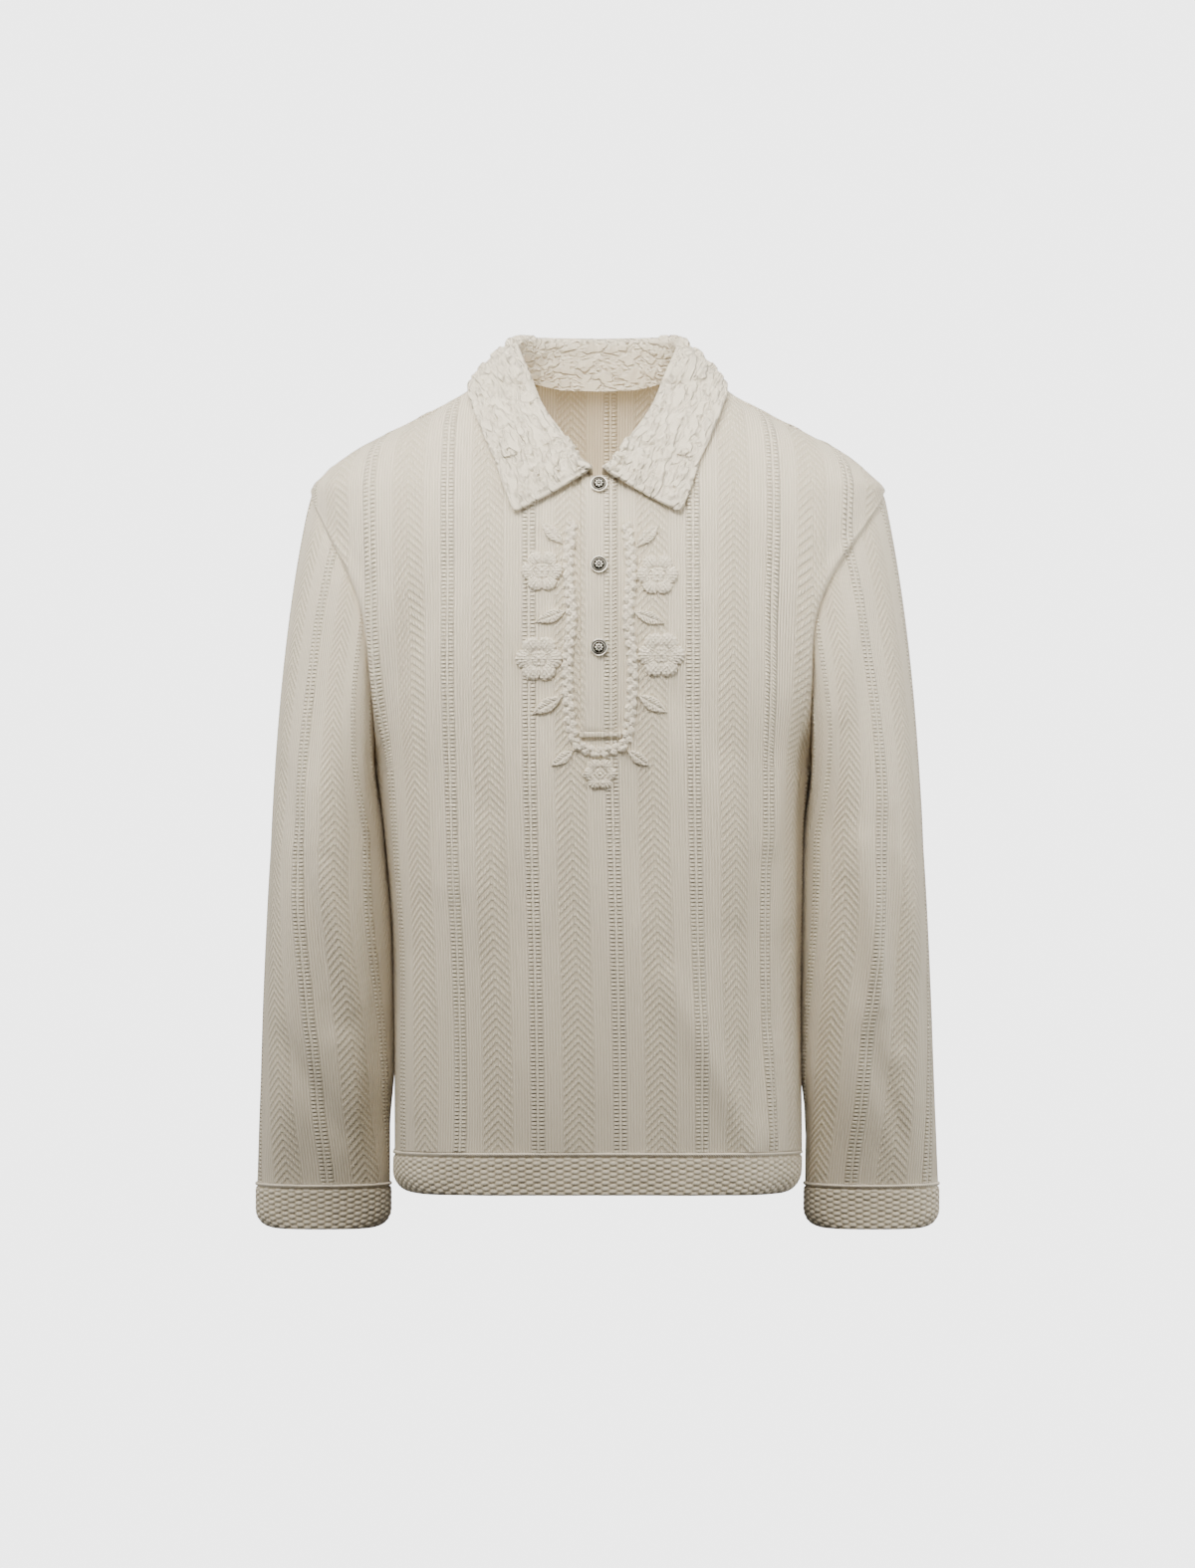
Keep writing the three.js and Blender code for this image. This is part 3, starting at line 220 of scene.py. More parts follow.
def torsoNormal(at, side, face):
    x, y, z = at[..., 0], at[..., 1], at[..., 2]
    step, power = 0.5, body["power"]

    def level(px, py, pz):
        return (np.abs(px) / halfWidth(pz, side)) ** power + (np.abs(py) / halfDepth(pz, face)) ** power

    return unit(points(
        level(x + step, y, z) - level(x - step, y, z),
        level(x, y + step, z) - level(x, y - step, z),
        level(x, y, z + step) - level(x, y, z - step),
    ))


def turnAtZ(z):
    return np.arccos(clamp01((z - body["armpitZ"]) / (body["tipZ"] - body["armpitZ"])) * 2 - 1)


def armholeDepth(turn, side):
    scoop = np.where(side > 0, body["scoopLeft"], body["scoopRight"])
    return scoop * np.maximum(np.sin(turn), 0) ** mix(1.3, 0.8, (1 - np.cos(turn)) / 2)


def armholePoint(turn, side, face):
    z = mix(body["armpitZ"], body["tipZ"], (1 + np.cos(turn)) / 2)
    depth = armholeDepth(turn, side)
    return points(side * widthAt(depth, z, side, face), face * depth, z)


def edgeArc(z, side, face):
    depth = armholeDepth(turnAtZ(z), side)
    share = clamp01(depth / halfDepth(z, face)) ** (body["power"] / 2)
    scooped = arcAtAngle(z, side, face, np.arccos(share))
    return np.where(z <= body["armpitZ"], quarterLength(z, side, face), scooped)


def armpitLength(side, face):
    return quarterLength(np.full(np.shape(side), body["armpitZ"]), side, face)


def columnArc(column, z, side, face):
    full = armpitLength(side, face)
    bend = smooth((column - body["gradingStart"]) / (full - body["gradingStart"]))
    return column + (edgeArc(np.minimum(z, body["tipZ"]), side, face) - full) * bend


def seamForward(x):
    share = clamp01((x - body["neckSideX"]) / (body["tipX"] - body["neckSideX"]))
    return mix(body["seamForwardAtNeck"], body["seamForwardAtTip"], share)


def seamLineZ(column, side, face):
    return body["hemSeamZ"] - body["hemSideDrop"] * (column / armpitLength(side, face)) ** 2


# Unit normals of a grid of points, by its rows and columns
def gridNormals(grid, wraps=False):
    if wraps:
        across = np.roll(grid, -1, axis=1) - np.roll(grid, 1, axis=1)
    else:
        across = np.gradient(grid, axis=1)
    return unit(np.cross(across, np.gradient(grid, axis=0)))


# A closed wall between two grids of points. cloth holds the cloth's own coordinates in mm, with one column
# more than the grid has where it wraps. keep says which cells there are
def wallMesh(name, outer, inner, cloth, wraps=False, keep=None):
    rows, columns = outer.shape[:2]
    cells = columns if wraps else columns - 1
    if keep is None:
        keep = np.ones((rows - 1, cells), bool)
    r, c = np.nonzero(keep)
    around = np.zeros((rows + 1, cells + 2), bool)
    around[1:-1, 1:-1] = keep
    if wraps:
        around[1:-1, 0], around[1:-1, -1] = keep[:, -1], keep[:, 0]
    corners = [(r, c), (r, c + 1), (r + 1, c + 1), (r + 1, c)]
    faces = [
        [(row, column, 0) for row, column in corners],
        [(row, column, 1) for row, column in reversed(corners)],
    ]
    for start, (stepR, stepC) in enumerate([(-1, 0), (0, 1), (1, 0), (0, -1)]):
        bare = ~around[r + 1 + stepR, c + 1 + stepC]
        (r0, c0), (r1, c1) = corners[start], corners[(start + 1) % 4]
        rim = [(r1, c1, 0), (r0, c0, 0), (r0, c0, 1), (r1, c1, 1)]
        faces.append([(row[bare], column[bare], layer) for row, column, layer in rim])
    quads, flat = [], []
    for face in faces:
        quads.append(np.stack([layer * rows * columns + row * columns + column % columns
                               for row, column, layer in face], axis=1))
        flat.append(np.stack([cloth[row, column] for row, column, layer in face], axis=1))
    quads, flat = np.concatenate(quads), np.concatenate(flat)
    places = np.concatenate([outer.reshape(-1, 3), inner.reshape(-1, 3)])
    used, packed = np.unique(quads, return_inverse=True)
    return meshOf(name, places[used], packed.reshape(-1, 4), flat)


def meshOf(name, places, quads, flat):
    corners = places[quads[:, :3]]
    volume = np.einsum("ij,ij->i", corners[:, 0], np.cross(corners[:, 1], corners[:, 2])).sum()
    if volume < 0:
        quads, flat = quads[:, ::-1], flat[:, ::-1]
    mesh = bpy.data.meshes.new(name)
    mesh.vertices.add(len(places))
    mesh.vertices.foreach_set("co", (places / perMetre).ravel())
    mesh.loops.add(quads.size)
    mesh.loops.foreach_set("vertex_index", quads.astype(np.int32).ravel())
    mesh.polygons.add(len(quads))
    mesh.polygons.foreach_set("loop_start", np.arange(0, quads.size, 4, dtype=np.int32))
    mesh.polygons.foreach_set("use_smooth", np.ones(len(quads), bool))
    layer = mesh.uv_layers.new(name="cloth")
    layer.data.foreach_set("uv", (flat / perMetre).astype(np.float32).ravel())
    mesh.update(calc_edges=True)
    mesh.validate()
    mesh.set_sharp_from_angle(angle=math.radians(62))
    piece = bpy.data.objects.new(name, mesh)
    bpy.context.scene.collection.objects.link(piece)
    return piece


# How far up the cloth each row of a grid lies, along its own column
def lengthsUp(grid):
    steps = np.linalg.norm(np.diff(grid, axis=0), axis=-1)
    return np.concatenate([np.zeros((1, grid.shape[1])), np.cumsum(steps, axis=0)])


# The stripes of the body's knit, across one repeat: a pair of cables, ribs, herringbone, ribs
# How far up the cloth each point lies: its height, or a share of its length where it lies flatter
def clothHeights(grid, flatter=0.75):
    steps = np.diff(grid, axis=0)
    climb = np.maximum(steps[..., 2], flatter * np.linalg.norm(steps, axis=-1))
    start = grid[:1, :, 2] - grid[0, :, 2].min()
    return np.concatenate([start, start + np.cumsum(climb, axis=0)])


stripes = dict(
    repeat=67.5,
    cableCentre=11.0,
    cableApart=3.15,
    cableHalf=2.7,
    cableRise=0.6,
    stitchPitch=3.26,
    stitchRise=1.6,
    # shade and light are the colours of the painted shade in the furrows and the painted highlight on the
    # crests
    shade="#b8ab90",
    light="#f4ecda",
    fuzz=0.9,
    fuzzRise=0.08,
    dotRise=0.8,
    ribRise=0.5,
    herringboneHalf=12.6,
    herringboneRise=0.3,
    dotColumns=2.5,
    dotPitch=6.5,
    dotLean=2.5,
    ribPitch=2.4,
    lean=8.0,
    leanFromZ=-260.0,
    leanToZ=-650.0,
)


# The broad swell under the stitches, which the material raises
def stripeRelief(across):
    s = stripes
    fromCable = across - s["cableCentre"]
    offset = np.abs(fromCable - s["repeat"] * np.round(fromCable / s["repeat"]))
    cable = smooth((s["cableApart"] + s["cableHalf"] + 1.5 - offset) / 4)
    band = smooth((s["herringboneHalf"] - (s["repeat"] / 2 - offset)) / 4)
    return s["cableRise"] * cable + s["herringboneRise"] * band


def leanOf(z):
    return stripes["lean"] * smooth((z - stripes["leanFromZ"]) / (stripes["leanToZ"] - stripes["leanFromZ"]))


# Soft folds: a line, its half width and how far it rises or sinks. The largest are those of the CAD walls.
frontFolds = table(
    "x0 z0 x1 z1 width rise",
    [
        (-55, -245, -40, -312, 15, -2.5),
        (57, -256, 71, -296, 15, -2.5),
        (35, -343, 38, -438, 15, -2.5),
        (104, -340, 112, -450, 14, 3),
        (136, -420, 134, -610, 20, -4.5),
        (60, -510, 128, -648, 13, 3),
        (-116, -455, -109, -630, 19, -3.5),
        (-90, -385, -92, -470, 13, 2),
        (-120, -150, -160, -255, 20, -3),
        (130, -150, 152, -250, 18, -3),
        (-150, -300, -142, -430, 9, 1.6),
        (-134, -330, -128, -420, 7, -1.4),
        (146, -560, 140, -640, 6, 1.8),
        (156, -470, 150, -600, 6, -1.6),
        (122, -560, 126, -640, 5, -1.3),
        (150, -330, 146, -400, 7, 1.8),
        (-152, -500, -148, -620, 7, 1.4),
        (-60, -420, -66, -560, 12, -1.2),
        (0, -430, 6, -600, 13, 1.2),
        (80, -440, 88, -520, 9, -1.4),
        (-30, -360, -44, -460, 9, 1.1),
        (178, -180, 186, -262, 8, 1.8),
        (196, -170, 204, -240, 7, -1.5),
        (-176, -190, -186, -270, 8, 1.6),
    ],
)
backFolds = table(
    "x0 z0 x1 z1 width rise",
    [
        (-118, -170, -92, -330, 20, -4),
        (112, -180, 88, -350, 19, -4),
        (-62, -400, -96, -620, 19, -4),
        (40, -430, 66, -630, 17, -3.5),
        (-10, -470, -18, -640, 15, 3),
        (126, -460, 120, -640, 15, 3),
        (-140, -420, -146, -600, 9, -2),
        (150, -300, 142, -420, 9, 1.8),
        (-20, -120, -30, -300, 24, -1.5),
    ],
)
sleeveFolds = table(
    "side x0 z0 x1 z1 width rise",
    [
        (-1, 260, -340, 222, -545, 11, -4),
        (-1, 228, -420, 203, -530, 9, 3),
        (-1, 262, -560, 214, -640, 11, -3),
        (-1, 214, -200, 236, -330, 12, -3.5),
        (1, 220, -395, 236, -530, 9, 3.5),
        (1, 258, -410, 270, -500, 8, 3),
        (1, 240, -380, 252, -560, 10, -3.5),
        (1, 216, -150, 204, -290, 9, 3.5),
        (1, 226, -560, 262, -650, 11, -3),
        (-1, 246, -440, 226, -520, 6, 1.8),
        (-1, 206, -560, 196, -650, 6, 1.6),
        (1, 206, -430, 214, -520, 6, -1.8),
        (1, 252, -600, 268, -660, 6, 1.6),
    ],
)


def foldRise(folds, x, z):
    rise = np.zeros(np.broadcast(x, z).shape)
    for i in range(len(folds["x0"])):
        names = ("x0", "z0", "x1", "z1", "width", "rise")
        x0, z0, x1, z1, width, height = (folds[name][i] for name in names)
        dx, dz = x1 - x0, z1 - z0
        along = clamp01(((x - x0) * dx + (z - z0) * dz) / (dx * dx + dz * dz))
        away = np.hypot(x - x0 - along * dx, z - z0 - along * dz)
        ends = np.sin(math.pi * mix(0.12, 0.88, along)) ** 0.7
        rise += 1.35 * height * np.exp(-((away / width) ** 2)) * ends
    return rise


# Slight unevenness that worn knit has everywhere
def ripple(x, z, seed):
    wide = np.sin(x / 19 + z / 91 + seed) * np.sin(z / 67 - x / 90 + 2 * seed)
    fine = np.sin(x / 8.5 + z / 61 + 3 * seed) * np.sin(z / 41 + seed)
    return 1.1 * wide + 0.35 * fine


# A pressed seam: the cloth dips into it and swells slightly beside it
def seamPress(distance):
    return 0.5 * np.exp(-(((distance - 4.5) / 2.5) ** 2)) - 0.5 * np.exp(-((distance / 1.5) ** 2))


panel = dict(columns=300, skirtRows=76, yokeRows=56, overRows=8, thickness=2.0, edgeRise=3.0)


def signedColumns(face):
    reach = [float(armpitLength(np.array(side), face)) for side in (-1, 1)]
    signed = np.linspace(-reach[0], reach[1], panel["columns"] + 1)
    side = np.where(signed < 0, -1, 1)
    return signed, side, np.abs(signed), np.where(side < 0, reach[0], reach[1])


def yokeShares():
    even = np.linspace(0, 1, panel["yokeRows"] + 1)[1:]
    return mix(even, (1 - np.cos(math.pi * even)) / 2, 0.6)


def skirtHeights(column, side, face):
    shares = np.linspace(0, 1, panel["skirtRows"] + 1)[:, None]
    return mix(seamLineZ(column, side, face)[None], body["armpitZ"], shares)


# The cloth between two walls before its stripes are raised, and each point's distance to the side
def panelSurface(z, column, side, full, face, folds, seed):
    arc = np.minimum(columnArc(column, z, side, face), quarterLength(z, side, face))
    grid = torsoPoint(z, side, face, arc)
    toEdge = np.maximum(edgeArc(np.minimum(z, body["tipZ"]), side, face), arc) - arc
    quiet = smooth((full - column) / 30)
    rise = foldRise(folds, grid[..., 0], z) * quiet + ripple(grid[..., 0], z, seed) * quiet
    grid += torsoNormal(grid, side, face) * rise[..., None]
    return grid, arc, toEdge


def frontTopZ(column, side):
    def below(z):
        arc = columnArc(column, z, side, -1)
        x = xAtArc(z, side, -1, arc)
        inside = arc <= quarterLength(z, side, -1)
        pastNeck = (x < body["neckSideX"]) & (z >= frontNeckZ(x))
        return inside & ~pastNeck & (depthAt(x, z, side, -1) > seamForward(x) + body["seamGap"])

    return lastTrue(np.full(column.shape, body["armpitZ"]), np.full(column.shape, 12.0), below)


def finishPanel(name, grid, arc, toEdge, side, seamRows, keep=None):
    normals = gridNormals(grid)
    outward = np.sign((normals * (grid - [0, 0, -300])).sum())
    normals = normals * outward
    across = side * arc - leanOf(grid[..., 2])
    relief = stripeRelief(across) * smooth(toEdge / 3) + seamPress(toEdge)
    relief = relief + seamPress(seamRows) * smooth(toEdge / 8)
    overSleeve = smooth((grid[..., 2] - body["armpitZ"]) / 60) * smooth((-120 - grid[..., 2]) / 40)
    relief = relief + panel["edgeRise"] * overSleeve * np.exp(-(((toEdge - 6) / 7) ** 2))
    outer = grid + normals * relief[..., None]
    inner = grid - normals * panel["thickness"]
    cloth = np.stack([across, clothHeights(grid)], axis=-1)
    return wallMesh(name, outer, inner, cloth, keep=keep)


def frontPanel():
    signed, side, column, full = signedColumns(-1)
    top = frontTopZ(column, side)
    yoke = mix(body["armpitZ"], top[None], yokeShares()[:, None])
    z = np.concatenate([skirtHeights(column, side, -1), yoke])
    wide = np.broadcast_to(column, z.shape)
    sides = np.broadcast_to(side, z.shape)
    grid, arc, toEdge = panelSurface(z, wide, sides, full, -1, frontFolds, 0.4)
    toTop = lengthsUp(grid)[-1] - lengthsUp(grid)
    seam = np.where(np.abs(grid[-1, :, 0]) > body["neckSideX"], toTop, 40)
    return finishPanel("front_cloth", grid, arc, toEdge, sides, seam)


def backPanel():
    signed, side, column, full = signedColumns(1)
    highArc = float(arcAtX(np.array(body["highPointX"]), np.array(8.0), 1, 1))
    onRidge = column >= highArc

    def below(z):
        arc = columnArc(column, z, side, 1)
        x = xAtArc(z, side, 1, arc)
        return (arc <= quarterLength(z, side, 1)) & (onRidge | (z < backNeckZ(x)))

    top = lastTrue(np.full(column.shape, body["armpitZ"]), np.full(column.shape, 15.0), below)
    yoke = mix(body["armpitZ"], top[None], yokeShares()[:, None])
    z = np.concatenate([skirtHeights(column, side, 1), yoke])
    wide, sides = np.broadcast_to(column, z.shape), np.broadcast_to(side, z.shape)
    grid, arc, toEdge = panelSurface(z, wide, sides, full, 1, backFolds, 1.7)
    ridgeX = halfWidth(top, side)
    grid[-1, onRidge] = points(side * ridgeX, 0, top)[onRidge]
    over = [overRidge(side, top, ridgeX, column, full, share)
            for share in np.linspace(0, 1, panel["overRows"] + 1)[1:]]
    ridgeRow = len(grid) - 1
    grid = np.concatenate([grid, np.array(over)])
    grid[ridgeRow + 1:, ~onRidge] = grid[ridgeRow, ~onRidge]
    extra = ((panel["overRows"], 0), (0, 0))
    arc, toEdge = np.pad(arc, extra, "edge"), np.pad(toEdge, extra, "edge")
    keep = np.ones((len(grid) - 1, len(column) - 1), bool)
    keep[ridgeRow:] = (onRidge[:-1] & onRidge[1:])[None]
    toTop = lengthsUp(grid)[-1] - lengthsUp(grid)
    seam = np.where(onRidge, toTop, 40)
    return finishPanel("back_cloth", grid, arc, toEdge, np.broadcast_to(side, arc.shape), seam, keep)


# From the shoulder's ridge forwards and down to the seam in front of it
def overRidge(side, top, ridgeX, column, full, share):
    inward = np.maximum(ridgeX - (body["highPointX"] - body["neckSideX"]), body["neckSideX"])
    x = mix(ridgeX, inward, share * smooth((110 - ridgeX) / 25))
    x = np.where(full - column < 1e-6, body["tipX"] - 0.6 * share, x)
    depth = (seamForward(x) - body["seamGap"] / 2) * share
    z = lastTrue(top - 80, top, lambda level: depthAt(x, level, side, -1) > depth)
    return points(side * x, -depth, z)


# Sleeves: inner and outer edge seen from the front, and half the depth from front to back
arm = dict(
    ringTopZ=-400.0,
    endZ=-681.0,
    power=2.2,
    sides=150,
    capRows=44,
    armRows=66,
    thickness=2.0,
    restGap=0.6,
    hemGap=4.0,
    partsAtZ=-585.0,
    tuckLength=3.0,
    tuckDepth=2.4,
    tuckWidth=2.5,
    underDepth=1.4,
    underWidth=14.0,
    stripeShiftLeft=-16.0,
    stripeShiftRight=-2.0,
    rings=table(
        "z inner outer depth",
        [
            (-400, 181, 274.5, 82),
            (-441, 178, 277, 78),
            (-525, 175.5, 281, 66),
            (-609, 174.5, 284, 52),
            (-659, 176.5, 286, 41),
            (-690, 181, 287, 36),
            (-725, 184, 287, 33),
        ],
    ),
)
armCurves = {name: curveOf(arm["rings"], "z", name) for name in ("inner", "outer", "depth")}


def rounded(value, power):
    return np.sign(value) * np.abs(value) ** (2 / power)


# A point of a sleeve's ring. Its inner side lies against the body, down to where it parts from the hem
def sleeveRingPoint(turn, z, side):
    parting = arm["restGap"] + arm["hemGap"] * smooth((arm["partsAtZ"] - z) / 50)
    inner = np.minimum(armCurves["inner"](z), halfWidth(z, side) + parting)
    centre = (inner + armCurves["outer"](z)) / 2
    half = (armCurves["outer"](z) - inner) / 2
    x = side * (centre + half * rounded(np.cos(turn), arm["power"]))
    return points(x, -armCurves["depth"](z) * rounded(np.sin(turn), arm["power"]), z)


def sleeveCapPoint(turn, share, side):
    face = np.where(np.sin(turn) >= 0, -1, 1)
    start = armholePoint(np.abs(turn), side, face)
    end = sleeveRingPoint(turn, np.full(turn.shape, arm["ringTopZ"]), side)
    upper = (1 + np.cos(turn)) / 2
    leave = points(side * mix(-4, 62, upper ** 0.5), -22 * np.sin(turn), -60 - 225 * upper ** 1.5)
    arrive = points(side * 12 * upper, 0, end[..., 2] - start[..., 2])
    t = share[..., None]
    return (start * (1 + 2 * t) * (1 - t) ** 2 + end * t * t * (3 - 2 * t)
            + leave * t * (1 - t) ** 2 - arrive * t * t * (1 - t))


# Rings from the armhole down to the cuff's seam, each from the underarm seam round the front and back to it
def sleeveSurface(side):
    turn = np.linspace(-math.pi, math.pi, arm["sides"] + 1)[None, :-1]
    capShare = mix(0.003, 1, np.linspace(0, 1, arm["capRows"] + 1) ** 1.15)[:, None]
    cap = sleeveCapPoint(*np.broadcast_arrays(turn, capShare), side)
    lowShare = np.linspace(0, 1, arm["armRows"] + 1)[1:, None]
    low = sleeveRingPoint(*np.broadcast_arrays(turn, mix(arm["ringTopZ"], arm["endZ"], lowShare)), side)
    grid = np.concatenate([cap, low])
    turns = np.broadcast_to(turn, grid.shape[:2])
    down = np.linspace(0, 1, len(grid))[:, None]
    reach = np.abs(np.sin(turns)) ** 1.5 * smooth((down - 0.03) / 0.12) * smooth((1 - down) / 0.1)
    across = np.abs(grid[..., 0])
    rise = ripple(across, grid[..., 2], 2.1 + side)
    for which in (-1, 1):
        chosen = {name: values[sleeveFolds["side"] == which] for name, values in sleeveFolds.items()}
        facing = np.where(np.sin(turns) > 0, side, -side) == which
        rise += np.where(facing, foldRise(chosen, across, grid[..., 2]), 0)
    away = grid - points(side * mix(228, 215, smooth((grid[..., 2] + 400) / 200)), 0, grid[..., 2])
    away[..., 2] = 0
    return grid + unit(away) * (rise * reach)[..., None], away


def sleeve(side):
    grid, away = sleeveSurface(side)
    normals = gridNormals(grid, wraps=True)
    normals = normals * np.sign((normals * away).sum())
    around = np.concatenate([grid, grid[:, :1]], axis=1)
    steps = np.linalg.norm(np.diff(around, axis=1), axis=-1)
    along = np.concatenate([np.zeros((len(grid), 1)), np.cumsum(steps, axis=1)], axis=1)
    signed = along - along[:, -1:] / 2
    across = signed + (arm["stripeShiftLeft"] if side > 0 else arm["stripeShiftRight"])
    toSeam = (along[:, -1:] / 2 - np.abs(signed))[:, :-1]
    toArmhole = lengthsUp(grid)
    toCuff = clothHeights(grid[::-1])[::-1]
    relief = stripeRelief(across[:, :-1]) * smooth(toSeam / 6) * smooth(toArmhole / 5)
    inFront = smooth(2 * np.sin(np.linspace(-math.pi, math.pi, arm["sides"] + 1)[:-1]))
    relief = relief - arm["tuckDepth"] * np.exp(-((toArmhole / arm["tuckWidth"]) ** 2))
    relief = relief - arm["underDepth"] * inFront * np.exp(-((toArmhole / arm["underWidth"]) ** 2))
    grid[0] -= unit(grid[1] - grid[0]) * arm["tuckLength"]
    outer = grid + normals * relief[..., None]
    inner = grid - normals * arm["thickness"]
    cloth = np.stack([across, np.concatenate([toCuff, toCuff[:, :1]], axis=1)], axis=-1)
    name = "left_sleeve_cloth" if side > 0 else "right_sleeve_cloth"
    return wallMesh(name, outer, inner, cloth, wraps=True)


# The honeycomb bands at the hem and cuffs: columns of oval stitches, every other one half a stitch lower
honeycomb = dict(
    columnPitch=6.3,
    rowPitch=4.6,
    stitchHalfWidth=3.9,
    stitchHalfHeight=2.15,
    yarnShade="#dbd1bc",
    yarnLight="#eee6d5",
    # the colour of the painted shade in the pits round the stitches
    paintedPitShade="#cbbfa6",
    yarnRise=0.5,
    twistRise=0.3,
    cordTwist=2.1,
    fuzz=0.8,
    fuzzRise=0.12,
    rise=1.3,
    cordMiddle=1.7,
    cordHalf=1.6,
    cordRise=1.9,
    grooveDepth=0.7,
    thickness=3.0,
)


def honeycombRelief(across, drop):
    h = honeycomb
    best = np.zeros(np.broadcast(across, drop).shape)
    nearest = np.round(across / h["columnPitch"])
    for step in (-1, 0, 1):
        column = nearest + step
        shifted = drop + (column % 2) * h["rowPitch"] / 2
        du = (across - column * h["columnPitch"]) / h["stitchHalfWidth"]
        dv = (shifted - h["rowPitch"] * np.round(shifted / h["rowPitch"])) / h["stitchHalfHeight"]
        best = np.maximum(best, np.sqrt(clamp01(1 - du * du - dv * dv)))
    return h["rise"] * best


def bandRelief(across, drop, height):
    h = honeycomb
    cord = np.sqrt(clamp01(1 - ((drop - h["cordMiddle"]) / h["cordHalf"]) ** 2)) * h["cordRise"]
    groove = h["grooveDepth"] * np.exp(-(((drop - 4.1) / 0.8) ** 2))
    below = smooth((drop - 4.2) / 1.2)
    hem = smooth((height - drop) / 1.6)
    return cord - groove + (honeycombRelief(across, drop) + 0.3) * below * mix(0.35, 1, hem)


# How far a band's side lies in at its rounded lower corner
def cornerInset(toEdge, radius):
    below = np.maximum(radius - toEdge, 0) * 0.97
    return radius - np.sqrt(radius**2 - below**2)


# A band from its rings of points: away is the way out of it, drop how far below its seam a ring lies
def bandMesh(name, grid, away, drop, height):
    around = np.concatenate([grid, grid[:, :1]], axis=1)
    steps = np.linalg.norm(np.diff(around, axis=1), axis=-1)
    along = np.concatenate([np.zeros((len(grid), 1)), np.cumsum(steps, axis=1)], axis=1)
    total = along[:1, -1:]
    along = along * total / along[:, -1:]
    wholeColumns = 2 * np.round(total / honeycomb["columnPitch"] / 2)
    along = along * wholeColumns * honeycomb["columnPitch"] / total
    relief = bandRelief(along[:, :-1], drop, height)
    outer = grid + away * relief[..., None]
    inner = grid - away * honeycomb["thickness"]
    cloth = np.stack([along, np.broadcast_to(drop, along.shape)], axis=-1)
    return wallMesh(name, outer, inner, cloth, wraps=True)


def hemBand():
    height, radius, sides, rowCount = 35.3, 19.0, 800, 28
    turn = np.linspace(0, 2 * math.pi, sides + 1)[None, :-1]
    drop = np.linspace(0, height, rowCount + 1)[:, None]
    side = np.where(np.cos(turn) >= 0, 1, -1)
    face = np.where(np.sin(turn) >= 0, -1, 1)
    share = 1 - np.abs(2 * np.arcsin(np.abs(np.sin(turn))) / math.pi)
    seamZ = body["hemSeamZ"] - body["hemSideDrop"] * share**2 - body["seamGap"]
    z, side, face, share = np.broadcast_arrays(seamZ - drop, side, face, share)
    grid = torsoPoint(z, side, face, share * quarterLength(z, side, face))
    away = torsoNormal(grid, side, face)
    outwards = np.abs(grid[..., 0]) / halfWidth(z, side)
    grid[..., 0] -= side * cornerInset(height - drop, radius) * outwards**3
    fold = foldRise(frontFolds, grid[..., 0], np.maximum(z, -640))
    grid += away * (np.where(face < 0, fold, 0) * 0.5)[..., None]
    grid += away * (0.7 * np.sin(share * 23 + side) * smooth(drop / height))[..., None]
    return bandMesh("hem_band_cloth", grid, away, drop, height)


def cuff(side):
    height, radius, sides, rowCount = 38.0, 15.0, 250, 30
    turn = np.linspace(0, 2 * math.pi, sides + 1)[None, :-1]
    drop = np.linspace(0, height, rowCount + 1)[:, None]
    turns, drops = np.broadcast_arrays(turn, drop)
    grid = sleeveRingPoint(turns, arm["endZ"] - body["seamGap"] - drops, side)
    away = points(side * np.cos(turns), -np.sin(turns), 0)
    outwards = rounded(np.cos(turns), arm["power"])
    grid[..., 0] -= side * outwards * np.abs(outwards) * cornerInset(height - drops, radius)
    name = "left_cuff_cloth" if side > 0 else "right_cuff_cloth"
    return bandMesh(name, grid, away, drop, height)


# The collar: one strip folded along its roll line, from the centre back (s 0) to each front end (s 1)
collarSizes = dict(
    rollRadius=2.9,
    clearance=2.6,
    shoulderEase=2.3,
    thickness=3.4,
    columns=330,
    standRows=9,
    rollRows=10,
    fallRows=78,
    margin=4.5,
    rise=2.3,
    tipRound=5.0,
    edgeLift=2.5,
    footTuck=3.0,
    footInset=2.3,
    route=table(
        "s neckX rollX rollY rollZ edgeX edgeY edgeZ",
        [
            (0, 0, 0, 58, 33, 0, 79, -18),
            (0.12, 34, 36, 52, 33, 46, 72, -16),
            (0.22, 56, 56, 37, 32, 75, 52, -11),
            (0.32, 74, 66, 20, 30, 94, 25, -6),
            (0.41, 82, 68.5, 8, 26, 102.5, 2, -7),
            (0.5, 79, 66.5, -6, 17, 104, -15, -16),
            (0.58, 76, 58, -25, -3, 101.5, -32, -33),
            (0.7, 62, 47, -53, -31, 92.5, -52, -61),
            (0.84, 40, 25, -84, -64, 82.5, -76, -87),
            (0.93, 20, 15.5, -96, -79, 74, -92, -107),
            (1, 6.5, 6.2, -103, -87, 66.4, -104, -123),
        ],
    ),
    turnShare=0.41,
    cornerShare=0.5,
)
collarCurves = {name: curveOf(collarSizes["route"], "s", name)
                for name in ("neckX", "rollX", "rollY", "rollZ", "edgeX", "edgeY", "edgeZ")}


